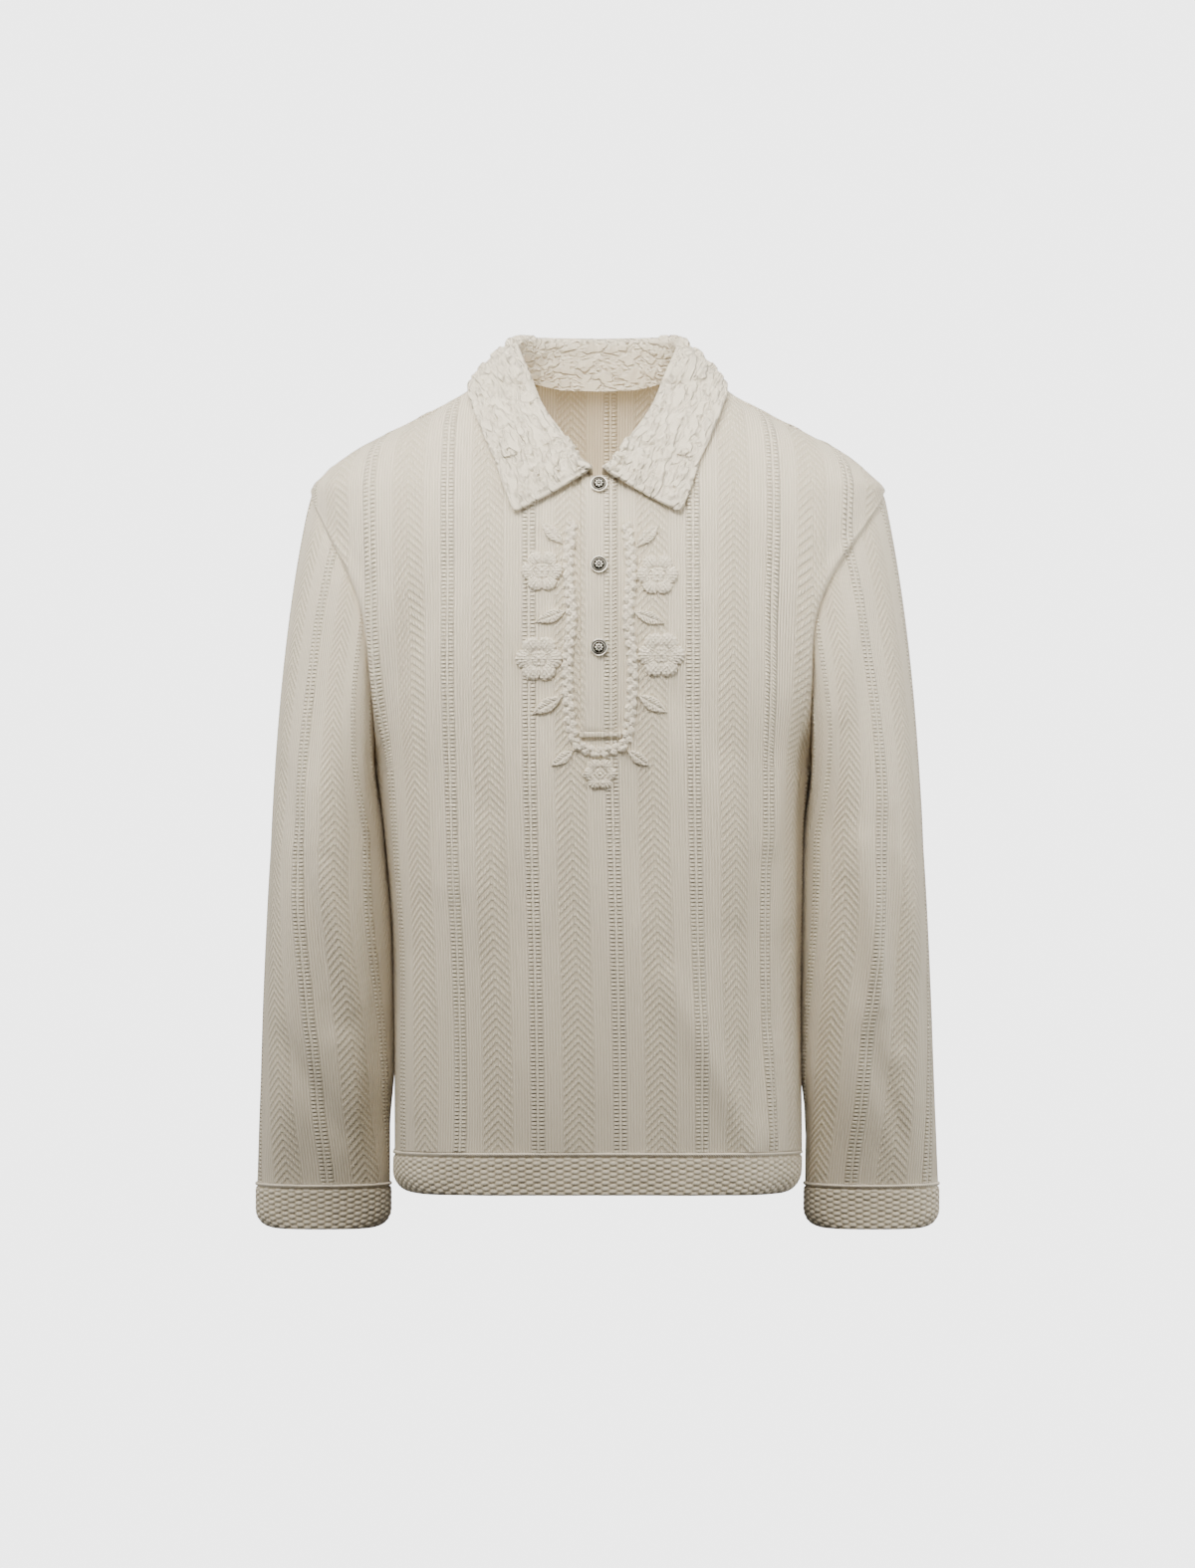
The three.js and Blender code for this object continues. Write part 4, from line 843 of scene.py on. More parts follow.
def neckPoint(s, side):
    turnShare, cornerShare = collarSizes["turnShare"], collarSizes["cornerShare"]
    x = collarCurves["neckX"](s)
    backZ, frontZ = backNeckZ(x), frontNeckZ(x)
    behind = points(side * x, depthAt(x, backZ, side, 1), backZ)
    before = points(side * x, -depthAt(x, frontZ, side, -1), frontZ)
    highX, cornerX = np.array(body["highPointX"]), np.array(body["neckSideX"])
    high = points(side * highX, 0, backNeckZ(highX))
    cornerZ = frontNeckZ(cornerX)
    corner = points(side * cornerX, -depthAt(cornerX, cornerZ, side, -1), cornerZ)
    share = clamp01((s - turnShare) / (cornerShare - turnShare))[..., None]
    between = mix(high, corner, share)
    return np.where(s[..., None] < turnShare, behind, np.where(s[..., None] > cornerShare, before, between))


def clearOfTorso(at, clear):
    side = np.where(at[..., 0] < 0, -1, 1)
    face = np.where(at[..., 1] < 0, -1, 1)
    for _ in range(6):
        z = np.minimum(at[..., 2], 15)
        level = ((np.abs(at[..., 0]) / halfWidth(z, side)) ** body["power"]
                 + (np.abs(at[..., 1]) / halfDepth(z, face)) ** body["power"])
        outside = np.hypot(at[..., 0], at[..., 1]) * (1 - level ** (-1 / body["power"]))
        normal = torsoNormal(at, side, face)
        flat = unit(points(at[..., 0], at[..., 1], 0))
        distance = outside * np.abs((flat * normal).sum(axis=-1))
        at = at + normal * np.maximum(clear - distance, 0)[..., None]
    return at


# A plain five-petalled flower pressed into thick cloth
def flowerRelief(across, up, radius, turn):
    r, angle = np.hypot(across, up), np.arctan2(up, across) + turn
    reach = radius * (0.72 + 0.28 * np.abs(np.cos(2.5 * angle)))
    petals = smooth((reach - r) / 1.6) * (0.75 + 0.25 * np.abs(np.cos(2.5 * angle)))
    return petals - 0.8 * np.exp(-(((r - 2.3) / 0.7) ** 2)) * (r < radius)


# A plain pointed leaf with a vein
def leafRelief(across, up, half, turn):
    p = across * math.cos(turn) + up * math.sin(turn)
    q = up * math.cos(turn) - across * math.sin(turn)
    width = 0.42 * half * (1 - clamp01(np.abs(p) / half) ** 1.6)
    inside = smooth((width - np.abs(q)) / 1.1) * (np.abs(p) < half)
    return inside * (1 - 0.55 * np.exp(-((q / 0.55) ** 2)))


# Flowers with leaves between them, in rows that follow the collar's outer edge
def collarRelief(along, toEdge):
    best = np.zeros(along.shape)
    reach = float(np.abs(along).max())
    for row, middle in enumerate((13.0, 30.0, 47.0, 64.0, 81.0)):
        count = int(reach // 19) + 1
        for i in range(-count, count + 1):
            at = (i + 0.5 * (row % 2)) * 19
            near = (np.abs(along - at) < 12) & (np.abs(toEdge - middle) < 12)
            if not near.any():
                continue
            du, dv = along[near] - at, toEdge[near] - middle
            spin = 1.1 * i + 0.7 * row
            if (i + row) % 2 == 0:
                height = flowerRelief(du, dv, 7.2, spin)
            else:
                pair = [leafRelief(du - sign * 3.6, dv, 7.6, spin + sign * 0.5) for sign in (-1, 1)]
                height = np.maximum(*pair)
            best[near] = np.maximum(best[near], height)
    return best


# Rounds the two points of the collar, where its outer edge meets its front ends
def roundTips(grid, radius):
    up = lengthsUp(grid)
    toEdge = up[-1:] - up
    steps = np.linalg.norm(np.diff(grid, axis=1), axis=-1)
    run = np.concatenate([np.zeros((len(grid), 1)), np.cumsum(steps, axis=1)], axis=1)
    toEnd = np.minimum(run, run[:, -1:] - run)
    fromEnd = unit(np.gradient(grid, axis=1)) * np.where(run < run[:, -1:] / 2, 1, -1)[..., None]
    fromEdge = -unit(np.gradient(grid, axis=0))
    u, v = np.maximum(radius - toEnd, 0), np.maximum(radius - toEdge, 0)
    reach = np.hypot(u, v)
    beyond = np.maximum(reach - radius, 0) / np.maximum(reach, 1e-9)
    return grid + fromEnd * (u * beyond)[..., None] + fromEdge * (v * beyond)[..., None]


def collar():
    c = collarSizes
    signed = np.linspace(-1, 1, c["columns"] + 1)
    s, side = np.abs(signed), np.where(signed < 0, -1, 1)

    def rollAt(at):
        share, which = np.abs(at), np.where(at < 0, -1, 1)
        return points(which * collarCurves["rollX"](share), collarCurves["rollY"](share),
                      collarCurves["rollZ"](share))

    top, foot = rollAt(signed), neckPoint(s, side)
    edge = points(side * collarCurves["edgeX"](s), collarCurves["edgeY"](s), collarCurves["edgeZ"](s))
    rise = unit(top - foot)
    along = unit(rollAt(np.minimum(signed + 0.02, 1)) - rollAt(np.maximum(signed - 0.02, -1)))
    out = unit(np.cross(along, rise))
    out = out * np.where(((edge - foot) * out).sum(axis=-1) < 0, -1, 1)[:, None]
    ease = c["shoulderEase"] * np.exp(-(((s - 0.46) / 0.07) ** 2))
    half, radius = c["thickness"] / 2, c["rollRadius"]
    foot = foot + rise * (ease - c["footTuck"])[:, None] - out * (half + c["footInset"])
    standTop = top - rise * radius - out * radius
    fallTop = top - rise * radius + out * radius
    rows = [mix(foot, standTop, share) for share in np.linspace(0, 1, c["standRows"])]
    for angle in np.linspace(math.pi, 0, c["rollRows"] + 2)[1:-1]:
        rows.append(top - rise * radius * (1 - math.sin(angle)) + out * radius * math.cos(angle))
    for share in np.linspace(0, 1, c["fallRows"]):
        hang = mix(fallTop, edge, share) + out * (3 * math.sin(math.pi * share) + c["edgeLift"] * share**2)
        rows.append(clearOfTorso(hang, c["clearance"] + half))
    grid = roundTips(np.array(rows), c["tipRound"])
    normals = gridNormals(grid)
    middle = len(rows) - c["fallRows"] // 2
    normals = normals * np.sign((normals[middle] * out).sum())
    lengths = lengthsUp(grid)
    toEdge = lengths[-1:] - lengths
    fall = lengths[-1:] - lengths[c["standRows"] + c["rollRows"]][None]
    steps = np.linalg.norm(np.diff(grid[middle], axis=0), axis=-1)
    run = np.concatenate([[0], np.cumsum(steps)])
    run = np.broadcast_to(run - run[-1] / 2, toEdge.shape)
    toEnd = np.abs(run).max() - np.abs(run)
    plain = smooth((toEdge - c["margin"]) / 1.5) * smooth((toEnd - c["margin"]) / 1.5) * smooth(lengths / 4)
    relief = c["rise"] * collarRelief(run, toEdge) * plain
    piping = 0.5 * (np.exp(-(((toEdge - 3.4) / 0.8) ** 2)) + np.exp(-(((toEnd - 3.4) / 0.8) ** 2)))
    relief = relief - piping * (toEdge < fall)
    rim = np.minimum(np.minimum(toEdge, toEnd) / half, 1)
    padding = np.maximum(half * np.sqrt(1 - (1 - rim) ** 2), 0.35)
    outer = grid + normals * (padding + relief)[..., None]
    inner = grid - normals * padding[..., None]
    return wallMesh("collar_cloth", outer, inner, np.stack([run, toEdge], axis=-1))


# What lies on the front is set on its surface, raised by rise along the surface's normal
def frontPoint(x, z, rise):
    x, z, rise = np.broadcast_arrays(np.asarray(x, float), np.asarray(z, float), np.asarray(rise, float))
    side = np.where(x < 0, -1, 1)
    at = points(x, -depthAt(x, z, side, -1), z)
    lift = rise + foldRise(frontFolds, x, z) + ripple(x, z, 0.4)
    return at + torsoNormal(at, side, -1) * lift[..., None]


placket = dict(
    topZ=-94.6, bottomZ=-309.0, halfWidth=13.8, barHeight=5.5, slotLeft=-14.4, underRight=19.4,
    thickness=2.0,
)


def frontStrip(name, left, right, bottom, top, lift, relief, stepX=0.9, stepZ=2.0):
    xs = np.linspace(left, right, int((right - left) / stepX) + 1)[None]
    zs = np.linspace(bottom, top, int((top - bottom) / stepZ) + 1)[:, None]
    x, z = np.broadcast_arrays(xs, zs)
    toRim = np.minimum(np.minimum(x - left, right - x), np.minimum(z - bottom, top - z))
    rounding = 0.8 * (1 - np.sqrt(1 - (1 - clamp01(toRim / 0.9)) ** 2))
    outer = frontPoint(x, z, lift + placket["thickness"] + relief(x, z) - rounding)
    inner = frontPoint(x, z, lift)
    return wallMesh(name, outer, inner, np.stack([x, z], axis=-1))


def topStripRelief(x, z):
    cable = smooth((stripes["cableApart"] + stripes["cableHalf"] + 1.5 - np.abs(x + 5.2)) / 4)
    ribs = 0.22 * np.cos(2 * math.pi * (x - 3.2) / 2.7) * smooth((x - 2.2) / 1)
    stitch = -0.35 * np.exp(-(((np.abs(x) - 12.1) / 0.5) ** 2)) - 0.3 * np.exp(-(((z + 97) / 0.6) ** 2))
    return 0.75 * cable + ribs + stitch


def barRelief(x, z):
    across = (z - (placket["bottomZ"] + placket["barHeight"] / 2)) / (placket["barHeight"] / 2)
    return 1.3 * np.sqrt(clamp01(1 - across**2)) + 0.12 * np.cos(2 * math.pi * x / 1.7)


def plackets():
    p = placket
    under = frontStrip("placket_under_cloth", p["slotLeft"], p["underRight"], p["bottomZ"] + 3,
                       p["topZ"] - 3, -1.6, lambda x, z: 0.15 * np.cos(2 * math.pi * x / 2.7),
                       stepX=1.5, stepZ=6)
    top = frontStrip("placket_top_cloth", -p["halfWidth"], p["halfWidth"], p["bottomZ"] + p["barHeight"],
                     p["topZ"], 0.5, topStripRelief)
    bar = frontStrip("placket_bar_cloth", -p["halfWidth"] - 1, p["underRight"], p["bottomZ"],
                     p["bottomZ"] + p["barHeight"] - 0.3, 0.4, barRelief, stepX=0.6, stepZ=0.6)
    return under, top, bar


# Crochet flowers, leaves and their stem, raised on the cloth beside the placket
motifs = dict(
    lift=0.3,
    rosettes=table(
        "x z radius",
        [(-45.5, -172, 17), (49, -175, 17), (-48, -244, 19), (52, -241, 19), (2, -338.3, 13)],
    ),
    leaves=table(
        "x z length turn",
        [
            (-37.2, -140.8, 26, 135),
            (41.2, -142.8, 26, 45),
            (-38.2, -209.4, 26, 200),
            (42.2, -210.4, 26, -20),
            (-41, -282, 28, 210),
            (45, -281, 28, -30),
            (-28.5, -325.5, 22, 215),
            (33.5, -325.5, 22, -35),
        ],
    ),
    leafHalfWidth=0.42,
    leafRound=1.3,
    stemHalfWidth=5.2,
    knotSpacing=7.4,
    stem=table(
        "x z",
        [
            (-21, -132), (-24, -172), (-21, -210), (-25, -250), (-23, -290), (-17, -314), (2, -321),
            (22, -314), (27, -290), (29, -250), (25, -210), (28, -172), (24, -132),
        ],
    ),
)


# A crochet piece from its outline's reach at each angle and its height at each angle and share of it
def motifMesh(name, x, z, reachAt, heightAt, turn, rings=24, sides=132):
    angle = np.linspace(0, 2 * math.pi, sides + 1)[None, :-1]
    share = np.linspace(1, 0.02, rings)[:, None]
    angles, shares = np.broadcast_arrays(angle, share)
    reach = reachAt(angles) * shares
    px, pz = x + reach * np.cos(angles + turn), z + reach * np.sin(angles + turn)
    rim = np.sqrt(clamp01(1 - (1 - clamp01((1 - shares) / 0.12)) ** 2))
    outer = frontPoint(px, pz, motifs["lift"] + 0.4 + rim * heightAt(angles, shares))
    inner = frontPoint(px, pz, motifs["lift"] - 0.6)
    around = np.concatenate([angles, angles[:, :1] + 2 * math.pi], axis=1)
    reaches = np.concatenate([reach, reach[:, :1]], axis=1)
    cloth = np.stack([reaches * np.cos(around), reaches * np.sin(around)], axis=-1)
    return wallMesh(name, outer, inner, cloth, wraps=True)


def rosette(name, x, z, radius):
    def reachAt(angle):
        scallop = 0.03 * np.cos(30 * angle)
        return radius * (0.8 + 0.22 * np.abs(np.cos(3 * angle)) ** 0.6 + scallop)

    def heightAt(angle, share):
        petal = 0.5 + 0.5 * np.cos(6 * angle)
        inPetal = np.sin(math.pi * clamp01((share - 0.36) / 0.64)) ** 0.7
        rows = 0.42 * np.abs(np.cos(math.pi * share * radius / 2.7))
        spokes = 0.34 * np.cos(36 * angle) * smooth((share - 0.4) / 0.15)
        ring = 0.9 * np.exp(-(((share - 0.27) / 0.08) ** 2)) * (0.75 + 0.25 * np.cos(12 * angle))
        valley = 0.8 * np.exp(-(((share - 0.4) / 0.05) ** 2))
        knob = 1.3 * smooth((0.17 - share) / 0.12)
        return 1.3 + (0.5 + 1.0 * petal) * inPetal + rows + spokes + ring + knob - valley

    return motifMesh(name, x, z, reachAt, heightAt, 0.0)


def leaf(name, x, z, length, turn):
    half, power = length / 2, motifs["leafRound"]

    def reachAt(angle):
        teeth = 1 + 0.05 * np.cos(20 * angle)
        wide = np.abs(np.sin(angle)) / motifs["leafHalfWidth"]
        return teeth * half / (np.abs(np.cos(angle)) ** power + wide**power) ** (1 / power)

    def heightAt(angle, share):
        across = reachAt(angle) * share * np.sin(angle)
        along = reachAt(angle) * share * np.cos(angle)
        veins = 0.42 * np.cos(2 * math.pi * (along - 0.9 * np.abs(across)) / 2.6)
        rib = np.exp(-((across / 0.7) ** 2))
        return 2.2 - 1.0 * rib + veins * smooth(np.abs(across) / 0.8) - 0.4 * share**3

    return motifMesh(name, x, z, reachAt, heightAt, math.radians(turn), rings=18, sides=84)


def stemLine():
    columns = dict(at=np.arange(len(motifs["stem"]["x"])).astype(float), **motifs["stem"])
    fine = np.linspace(0, columns["at"][-1], 401)
    line = np.stack([curveOf(columns, "at", name)(fine) for name in ("x", "z")])
    for _ in range(60):
        line[:, 1:-1] = (line[:, :-2] + 2 * line[:, 1:-1] + line[:, 2:]) / 4
    return line


# A crochet cord of round knots that lie left and right of its middle in turn
def stem():
    px, pz = stemLine()
    run = np.concatenate([[0], np.cumsum(np.hypot(np.diff(px), np.diff(pz)))])
    tx, tz = np.gradient(px, run), np.gradient(pz, run)
    half, spacing = motifs["stemHalfWidth"], motifs["knotSpacing"]
    share = np.linspace(-1, 1, 21)[:, None]
    width = half * (0.86 + 0.14 * np.cos(2 * math.pi * run[None] / spacing + math.pi * (share > 0)))
    gx, gz = px[None] - tz[None] * share * width, pz[None] + tx[None] * share * width
    knots = np.zeros(gx.shape)
    for sign in (-1, 1):
        along = run[None] + (spacing / 2 if sign > 0 else 0)
        which = np.round(along / spacing)
        along = along - spacing * which
        uneven = np.sin(2.4 * which + sign)
        aside = share * half - sign * (2.2 + 0.6 * uneven)
        dome = np.sqrt(clamp01(1 - (along / (4.1 + 0.5 * uneven)) ** 2 - (aside / 3.4) ** 2))
        curl = 0.12 * np.cos(3 * np.hypot(along, aside) + 2 * np.arctan2(aside, along)) * (dome > 0.3)
        knots = np.maximum(knots, dome * (1 + 0.2 * uneven) + curl)
    edge = np.sqrt(clamp01(1 - share**6))
    yarn = 0.22 * np.cos(2 * math.pi * (run[None] / 1.9 + 0.8 * share))
    outer = frontPoint(gx, gz, motifs["lift"] + 0.4 + edge * (0.6 + 2.6 * knots + yarn))
    inner = frontPoint(gx, gz, np.full(gx.shape, motifs["lift"] - 0.6))
    runs, acrosses = np.broadcast_arrays(run[None], share * half)
    return wallMesh("crochet_stem", outer, inner, np.stack([runs, acrosses], axis=-1))


# Buttons: a pale metal shank button with a raised rim, beads inside it and a lobed dome
buttonSizes = dict(
    radius=7.2, x=1.2, heights=(-101.5, -167.5, -235.0), lift=2.75, sides=84,
    profile=table(
        "radius height",
        [
            (5.2, 0), (5.4, 0.6), (6.4, 1.0), (7.0, 1.4), (7.2, 1.9), (7.15, 2.5), (6.95, 2.95),
            (6.6, 3.15), (6.25, 3.05), (6.0, 2.75), (5.7, 2.6), (5.35, 2.65), (5.0, 2.75), (4.7, 2.95),
            (4.3, 3.4), (3.7, 3.85), (3.0, 4.25), (2.2, 4.6), (1.4, 4.85), (0.7, 5.0), (0.05, 5.05),
        ],
    ),
)


def button(name, x, z):
    b = buttonSizes
    knots = np.arange(len(b["profile"]["radius"])).astype(float)
    tables = dict(at=knots, **b["profile"])
    fine = np.linspace(0, knots[-1], 51)[:, None]
    angle = np.linspace(0, 2 * math.pi, b["sides"] + 1)[None, :-1]
    radius, angles = np.broadcast_arrays(curveOf(tables, "at", "radius")(fine), angle)
    height = curveOf(tables, "at", "height")(fine) + 0 * angles
    onTop = smooth((fine - 9) / 1)
    beads = 0.28 * np.maximum(np.cos(24 * angles), 0) * np.exp(-(((radius - 5.35) / 0.3) ** 2))
    lobes = 0.32 * np.cos(8 * angles) * np.exp(-(((radius - 3.0) / 1.0) ** 2))
    middle = -0.3 * np.exp(-(((radius - 1.5) / 0.35) ** 2))
    height = height + onTop * (beads + lobes + middle)
    seat = frontPoint(x, z, b["lift"])
    away = torsoNormal(seat, 1, -1)
    sideways = unit(np.cross([0, 0, 1], away))
    upwards = np.cross(away, sideways)
    ring = np.cos(angles)[..., None] * sideways + np.sin(angles)[..., None] * upwards
    outer = seat + radius[..., None] * ring + height[..., None] * away
    inner = seat + 0.9 * radius[..., None] * ring + (0.8 * height[..., None]) * away
    around = np.concatenate([radius, radius[:, :1]], axis=1)
    cloth = np.stack([around, np.concatenate([height, height[:, :1]], axis=1)], axis=-1)
    return wallMesh(name, outer, inner, cloth, wraps=True)


# Materials
# A hex sRGB colour as linear RGBA
def colour(code):
    parts = [int(code[i:i + 2], 16) / 255 for i in (1, 3, 5)]
    return (*(p / 12.92 if p <= 0.04045 else ((p + 0.055) / 1.055) ** 2.4 for p in parts), 1.0)


# Adds a node, sets its settings, and fills its inputs, in order or by name. An input is a value, an output
# of another node, or another node, which stands for its first output.
def addNode(tree, kind, *values, inputs=(), **settings):
    node = tree.nodes.new(kind)
    for name, value in settings.items():
        setattr(node, name, value)
    for key, value in {**dict(enumerate(values)), **dict(inputs)}.items():
        if isinstance(value, bpy.types.Node):
            value = value.outputs[0]
        if isinstance(value, bpy.types.NodeSocket):
            tree.links.new(value, node.inputs[key])
        else:
            node.inputs[key].default_value = value
    return node


# From 0 to 1 and back once in every pitch
def wave(tree, value, pitch, shift=0.0):
    turn = addNode(tree, "ShaderNodeMath", value, 2 * math.pi / pitch, shift, operation="MULTIPLY_ADD")
    return addNode(
        tree, "ShaderNodeMath", addNode(tree, "ShaderNodeMath", turn, operation="COSINE"), 0.5, 0.5,
        operation="MULTIPLY_ADD",
    )


# Millimetres across and along the cloth
def clothCoordinates(tree):
    place = addNode(tree, "ShaderNodeUVMap", uv_map="cloth")
    scaled = addNode(tree, "ShaderNodeVectorMath", place, inputs={"Scale": perMetre}, operation="SCALE")
    parts = addNode(tree, "ShaderNodeSeparateXYZ", scaled)
    return parts.outputs["X"], parts.outputs["Y"]


# Uneven grains about as large as pitch, from the fuzz of a yarn to the puckers of a cloth
def grain(tree, across, up, pitch, detail=2.0):
    place = addNode(tree, "ShaderNodeCombineXYZ", across, up)
    inputs = {"Vector": place, "Scale": 1 / pitch, "Detail": detail, "Roughness": 0.6}
    return addNode(tree, "ShaderNodeTexNoise", inputs=inputs)


# The normal of a height in mm, from its slopes to two places a short step away
def reliefNormal(tree, build, across, up, height, step=0.12):
    beside = build(tree, addNode(tree, "ShaderNodeMath", across, step, operation="ADD"), up)[1]
    above = build(tree, across, addNode(tree, "ShaderNodeMath", up, step, operation="ADD"))[1]
    rises = [addNode(tree, "ShaderNodeMath", height, other, operation="SUBTRACT")
             for other in (beside, above)]
    slopes = [addNode(tree, "ShaderNodeMath", rise, step, operation="DIVIDE") for rise in rises]
    leaning = addNode(tree, "ShaderNodeCombineXYZ", *slopes, 1.0)
    facing = addNode(tree, "ShaderNodeVectorMath", leaning, operation="NORMALIZE")
    halves = (0.5, 0.5, 0.5)
    packed = addNode(tree, "ShaderNodeVectorMath", facing, halves, halves, operation="MULTIPLY_ADD")
    return addNode(tree, "ShaderNodeNormalMap", inputs={"Color": packed}, uv_map="cloth")


# A material from a function that gives a colour and a height in mm at a place of the cloth
def clothMaterial(name, build, roughness=0.9, sheen=0.12, metallic=0.0):
    material = bpy.data.materials.new(name)
    material.use_nodes = True
    tree = material.node_tree
    tree.nodes.clear()
    across, up = clothCoordinates(tree)
    tint, height = build(tree, across, up)
    shader = addNode(tree, "ShaderNodeBsdfPrincipled", inputs={
        "Base Color": tint, "Roughness": roughness, "Metallic": metallic, "Sheen Weight": sheen,
        "Sheen Roughness": 0.6, "Specular IOR Level": 0.25 if metallic == 0 else 0.5,
        "Normal": reliefNormal(tree, build, across, up, height),
    })
    addNode(tree, "ShaderNodeOutputMaterial", shader)
    return material


# Matt cotton yarn, knitted by machine in relief: cables of stacked stitches, a herringbone of small dots and
# fine ribs between. The lamps shade the relief of the round stitches, and their colour adds a painted
# highlight on the crests and painted warm shade between them.
# The dots are too fine to show in the render, so each slanting row of them is drawn as one stroke, at the
# rows' own pitch of dotPitch.
def stripedKnit(tree, across, up):
    s = stripes
    half = s["repeat"] / 2
    offset = addNode(
        tree, "ShaderNodeMath",
        addNode(tree, "ShaderNodeMath", across, s["cableCentre"], operation="SUBTRACT"), half, -half,
        operation="WRAP",
    )
    away = addNode(tree, "ShaderNodeMath", offset, operation="ABSOLUTE")
    inCable = addNode(
        tree, "ShaderNodeMath",
        addNode(tree, "ShaderNodeMath", away, s["cableApart"], operation="SUBTRACT"), s["cableHalf"],
        operation="DIVIDE",
    )
    dome = addNode(
        tree, "ShaderNodeMapRange", addNode(tree, "ShaderNodeMath", inCable, operation="ABSOLUTE"), 0.25,
        1.05, 1.0, 0.0, interpolation_type="SMOOTHSTEP",
    )
    bowed = addNode(
        tree, "ShaderNodeMath", addNode(tree, "ShaderNodeMath", inCable, inCable, operation="MULTIPLY"),
        0.5, up, operation="MULTIPLY_ADD",
    )
    stitches = addNode(
        tree, "ShaderNodeMath",
        addNode(
            tree, "ShaderNodeMapRange", wave(tree, bowed, s["stitchPitch"]), 0.05, 0.8, 0.0, 1.0,
            interpolation_type="SMOOTHSTEP",
        ),
        dome, operation="MULTIPLY",
    )
    fromMiddle = addNode(tree, "ShaderNodeMath", half, away, operation="SUBTRACT")
    slanted = addNode(
        tree, "ShaderNodeMath", fromMiddle, s["dotLean"] / s["dotColumns"], up, operation="MULTIPLY_ADD",
    )
    beads = addNode(
        tree, "ShaderNodeMath", wave(tree, fromMiddle, s["dotColumns"]), 0.7, 0.3,
        operation="MULTIPLY_ADD",
    )
    dots = addNode(tree, "ShaderNodeMath", beads, wave(tree, slanted, s["dotPitch"]), operation="MULTIPLY")
    dotMask = addNode(
        tree, "ShaderNodeMapRange", fromMiddle, s["herringboneHalf"] - 0.7, s["herringboneHalf"] + 0.5,
        1.0, 0.0, interpolation_type="SMOOTHSTEP",
    )
    dots = addNode(
        tree, "ShaderNodeMath",
        addNode(tree, "ShaderNodeMapRange", dots, 0.1, 0.75, 0.0, 1.0, interpolation_type="SMOOTHSTEP"),
        dotMask, operation="MULTIPLY",
    )
    rest = addNode(
        tree, "ShaderNodeMath", addNode(tree, "ShaderNodeMath", 1.0, dome, operation="SUBTRACT"),
        dotMask, operation="SUBTRACT",
    )
    ribs = addNode(tree, "ShaderNodeMath", wave(tree, offset, s["ribPitch"]), rest, operation="MULTIPLY")
    fuzz = grain(tree, across, up, s["fuzz"])
    height = addNode(
        tree, "ShaderNodeMath", dome, 0.5,
        addNode(tree, "ShaderNodeMath", stitches, s["stitchRise"], operation="MULTIPLY"),
        operation="MULTIPLY_ADD",
    )
    height = addNode(tree, "ShaderNodeMath", dots, s["dotRise"], height, operation="MULTIPLY_ADD")
    height = addNode(tree, "ShaderNodeMath", ribs, s["ribRise"], height, operation="MULTIPLY_ADD")
    height = addNode(tree, "ShaderNodeMath", fuzz, s["fuzzRise"], height, operation="MULTIPLY_ADD")
    # The colour: a painted highlight on the crests of stitches, dots and ribs, painted shade between them,
    # and random fuzz
    lit = addNode(
        tree, "ShaderNodeMath", stitches, 0.75,
        addNode(tree, "ShaderNodeMath", dome, -0.2, 0.22, operation="MULTIPLY_ADD"),
        operation="MULTIPLY_ADD",
    )
    lit = addNode(
        tree, "ShaderNodeMath", dots, 0.4,
        addNode(tree, "ShaderNodeMath", dotMask, -0.05, lit, operation="MULTIPLY_ADD"),
        operation="MULTIPLY_ADD",
    )
    lit = addNode(
        tree, "ShaderNodeMath", ribs, 0.35,
        addNode(tree, "ShaderNodeMath", fuzz, 0.25, lit, operation="MULTIPLY_ADD"),
        operation="MULTIPLY_ADD",
    )
    tint = addNode(
        tree, "ShaderNodeMix", inputs={0: lit, 6: colour(s["shade"]), 7: colour(s["light"])},
        data_type="RGBA",
    ).outputs[2]
    return tint, height
